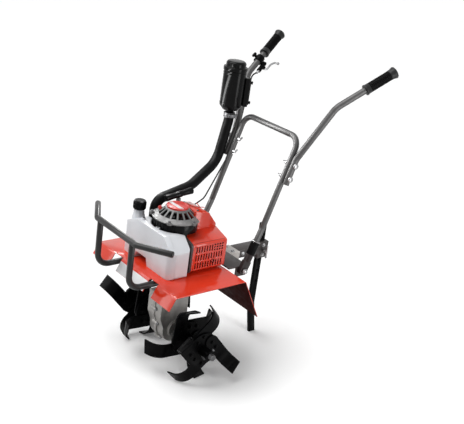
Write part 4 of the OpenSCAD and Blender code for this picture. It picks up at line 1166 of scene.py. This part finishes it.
def make_stage():
    scene = bpy.context.scene
    scene.view_settings.view_transform = "Standard"
    make_floor()
    make_world(scene)
    data = bpy.data.lights.new("sun", "SUN")
    data.energy = SUN_STRENGTH
    data.angle = math.radians(SUN_SPREAD)
    add_lamp(data, SUN_PLACE, -SUN_PLACE)
    for name, place, size, power, lights_all in STRIPS:
        data = bpy.data.lights.new(name + "_strip", "AREA")
        data.shape = "RECTANGLE"
        data.size, data.size_y = size
        data.energy = power
        strip = add_lamp(data, place, STRIPS_AIM - Vector(place))
        strip.visible_diffuse = lights_all
    add_camera(scene)


def make_floor():
    """A white floor that sends little light back up."""
    bm = bmesh.new()
    bmesh.ops.create_grid(bm, x_segments=1, y_segments=1, size=FLOOR_SIZE)
    floor = meshed("floor", bm)
    material = bpy.data.materials.new("pale_floor")
    material.use_nodes = True
    tree = material.node_tree
    seen = seen_rays(tree)
    feed(tree, tree.nodes["Principled BSDF"], {
        "Base Color": mixed(tree, seen, FLOOR_LIT, FLOOR_SEEN),
        "Roughness": 0.9,
        SPECULAR: 0.0,
        "Emission Color": WHITE,
        "Emission Strength": remapped(tree, seen, 0.0, 1.0, 0.0, FLOOR_GLOW),
    })
    floor.data.materials.append(material)


def make_world(scene):
    """A room that is seen white, and that gives a soft light."""
    world = bpy.data.worlds.new("pale_room")
    world.use_nodes = True
    tree = world.node_tree
    strength = remapped(tree, seen_rays(tree), 0.0, 1.0, ROOM_LIGHT, 1.0)
    feed(tree, tree.nodes["Background"], {"Color": WHITE, "Strength": strength})
    scene.world = world


def add_lamp(data, place, way):
    lamp = linked(data.name, data)
    lamp.location = place
    lamp.rotation_euler = way.to_track_quat("-Z", "Y").to_euler()
    lamp.visible_camera = False
    return lamp


def add_camera(scene):
    data = bpy.data.cameras.new("camera")
    data.lens = LENS
    data.sensor_width = SENSOR
    camera = linked("camera", data)
    camera.location = EYE
    camera.rotation_mode = "QUATERNION"
    roll = Quaternion((0, 0, 1), math.radians(ROLL))
    camera.rotation_quaternion = AIM.to_track_quat("-Z", "Y") @ roll
    scene.camera = camera


# Operators

class WeederOperator:
    """Shared settings of the operators that make pieces"""

    bl_options = {"REGISTER", "UNDO"}

    def execute(self, context):
        self.build()
        return {"FINISHED"}


class WEEDER_OT_finishes(WeederOperator, bpy.types.Operator):
    """Makes the node groups that the finishes share"""

    bl_idname = "weeder.finishes"
    bl_label = "Finishes"
    build = staticmethod(make_groups)


class WEEDER_OT_deck(WeederOperator, bpy.types.Operator):
    """Dresses the sheet deck and adds its blank plate"""

    bl_idname = "weeder.deck"
    bl_label = "Deck"
    build = staticmethod(dress_deck)


class WEEDER_OT_bumper(WeederOperator, bpy.types.Operator):
    """Dresses the bumper's tubes, plugs their ends and welds them"""

    bl_idname = "weeder.bumper"
    bl_label = "Bumper"
    build = staticmethod(dress_bumper)


class WEEDER_OT_drive(WeederOperator, bpy.types.Operator):
    """Dresses the drive tube and the gear case, with bosses and bolts round its joint"""

    bl_idname = "weeder.drive"
    bl_label = "Drive"
    build = staticmethod(dress_drive)


class WEEDER_OT_tines(WeederOperator, bpy.types.Operator):
    """Dresses the tine wheels and their shaft, with the bolts of the blades and the pins of the hubs"""

    bl_idname = "weeder.tines"
    bl_label = "Tines"
    build = staticmethod(dress_tines)


class WEEDER_OT_engine(WeederOperator, bpy.types.Operator):
    """Dresses the engine's castings and covers"""

    bl_idname = "weeder.engine"
    bl_label = "Engine"
    build = staticmethod(dress_engine)


class WEEDER_OT_tank(WeederOperator, bpy.types.Operator):
    """Dresses the fuel tank and its cap"""

    bl_idname = "weeder.tank"
    bl_label = "Fuel tank"
    build = staticmethod(dress_tank)


class WEEDER_OT_intake(WeederOperator, bpy.types.Operator):
    """Dresses the intake hose and the air cleaner"""

    bl_idname = "weeder.intake"
    bl_label = "Intake"
    build = staticmethod(dress_intake)


class WEEDER_OT_rear(WeederOperator, bpy.types.Operator):
    """Dresses the rear bracket, the hitch and the stake"""

    bl_idname = "weeder.rear"
    bl_label = "Rear bracket and stake"
    build = staticmethod(dress_rear)


class WEEDER_OT_handles(WeederOperator, bpy.types.Operator):
    """Dresses the handle frame, the arms, the handles and the grips"""

    bl_idname = "weeder.handles"
    bl_label = "Handles"
    build = staticmethod(dress_handles)


class WEEDER_OT_throttle(WeederOperator, bpy.types.Operator):
    """Dresses the throttle lever and its cable"""

    bl_idname = "weeder.throttle"
    bl_label = "Throttle"
    build = staticmethod(dress_throttle)


class WEEDER_OT_stage(WeederOperator, bpy.types.Operator):
    """Makes the floor, the light and the camera"""

    bl_idname = "weeder.stage"
    bl_label = "Stage"
    build = staticmethod(make_stage)


class WEEDER_PT_sidebar(bpy.types.Panel):
    """Lists the weeder's sizes, colours and operators"""

    bl_idname = "WEEDER_PT_sidebar"
    bl_label = "Power weeder"
    bl_space_type = "VIEW_3D"
    bl_region_type = "UI"
    bl_category = "Weeder"

    def draw(self, context):
        column = self.layout.column()
        for group in (context.scene.weeder_sizes, context.scene.weeder_colours):
            for name in group.__annotations__:
                column.prop(group, name)
        for operator in STEPS:
            column.operator(operator.bl_idname)


STEPS = (
    WEEDER_OT_finishes, WEEDER_OT_stage, WEEDER_OT_throttle, WEEDER_OT_deck, WEEDER_OT_bumper,
    WEEDER_OT_drive, WEEDER_OT_tines, WEEDER_OT_engine, WEEDER_OT_tank, WEEDER_OT_intake,
    WEEDER_OT_rear, WEEDER_OT_handles,
)
CLASSES = (WeederColours, WeederSizes) + STEPS + (WEEDER_PT_sidebar,)


def register():
    for cls in CLASSES:
        bpy.utils.register_class(cls)
    bpy.types.Scene.weeder_colours = bpy.props.PointerProperty(type=WeederColours)
    bpy.types.Scene.weeder_sizes = bpy.props.PointerProperty(type=WeederSizes)


def unregister():
    del bpy.types.Scene.weeder_sizes
    del bpy.types.Scene.weeder_colours
    for cls in reversed(CLASSES):
        bpy.utils.unregister_class(cls)


def main():
    register()
    for operator in STEPS:
        group, name = operator.bl_idname.split(".")
        getattr(getattr(bpy.ops, group), name)()


if __name__ == "__main__":
    main()
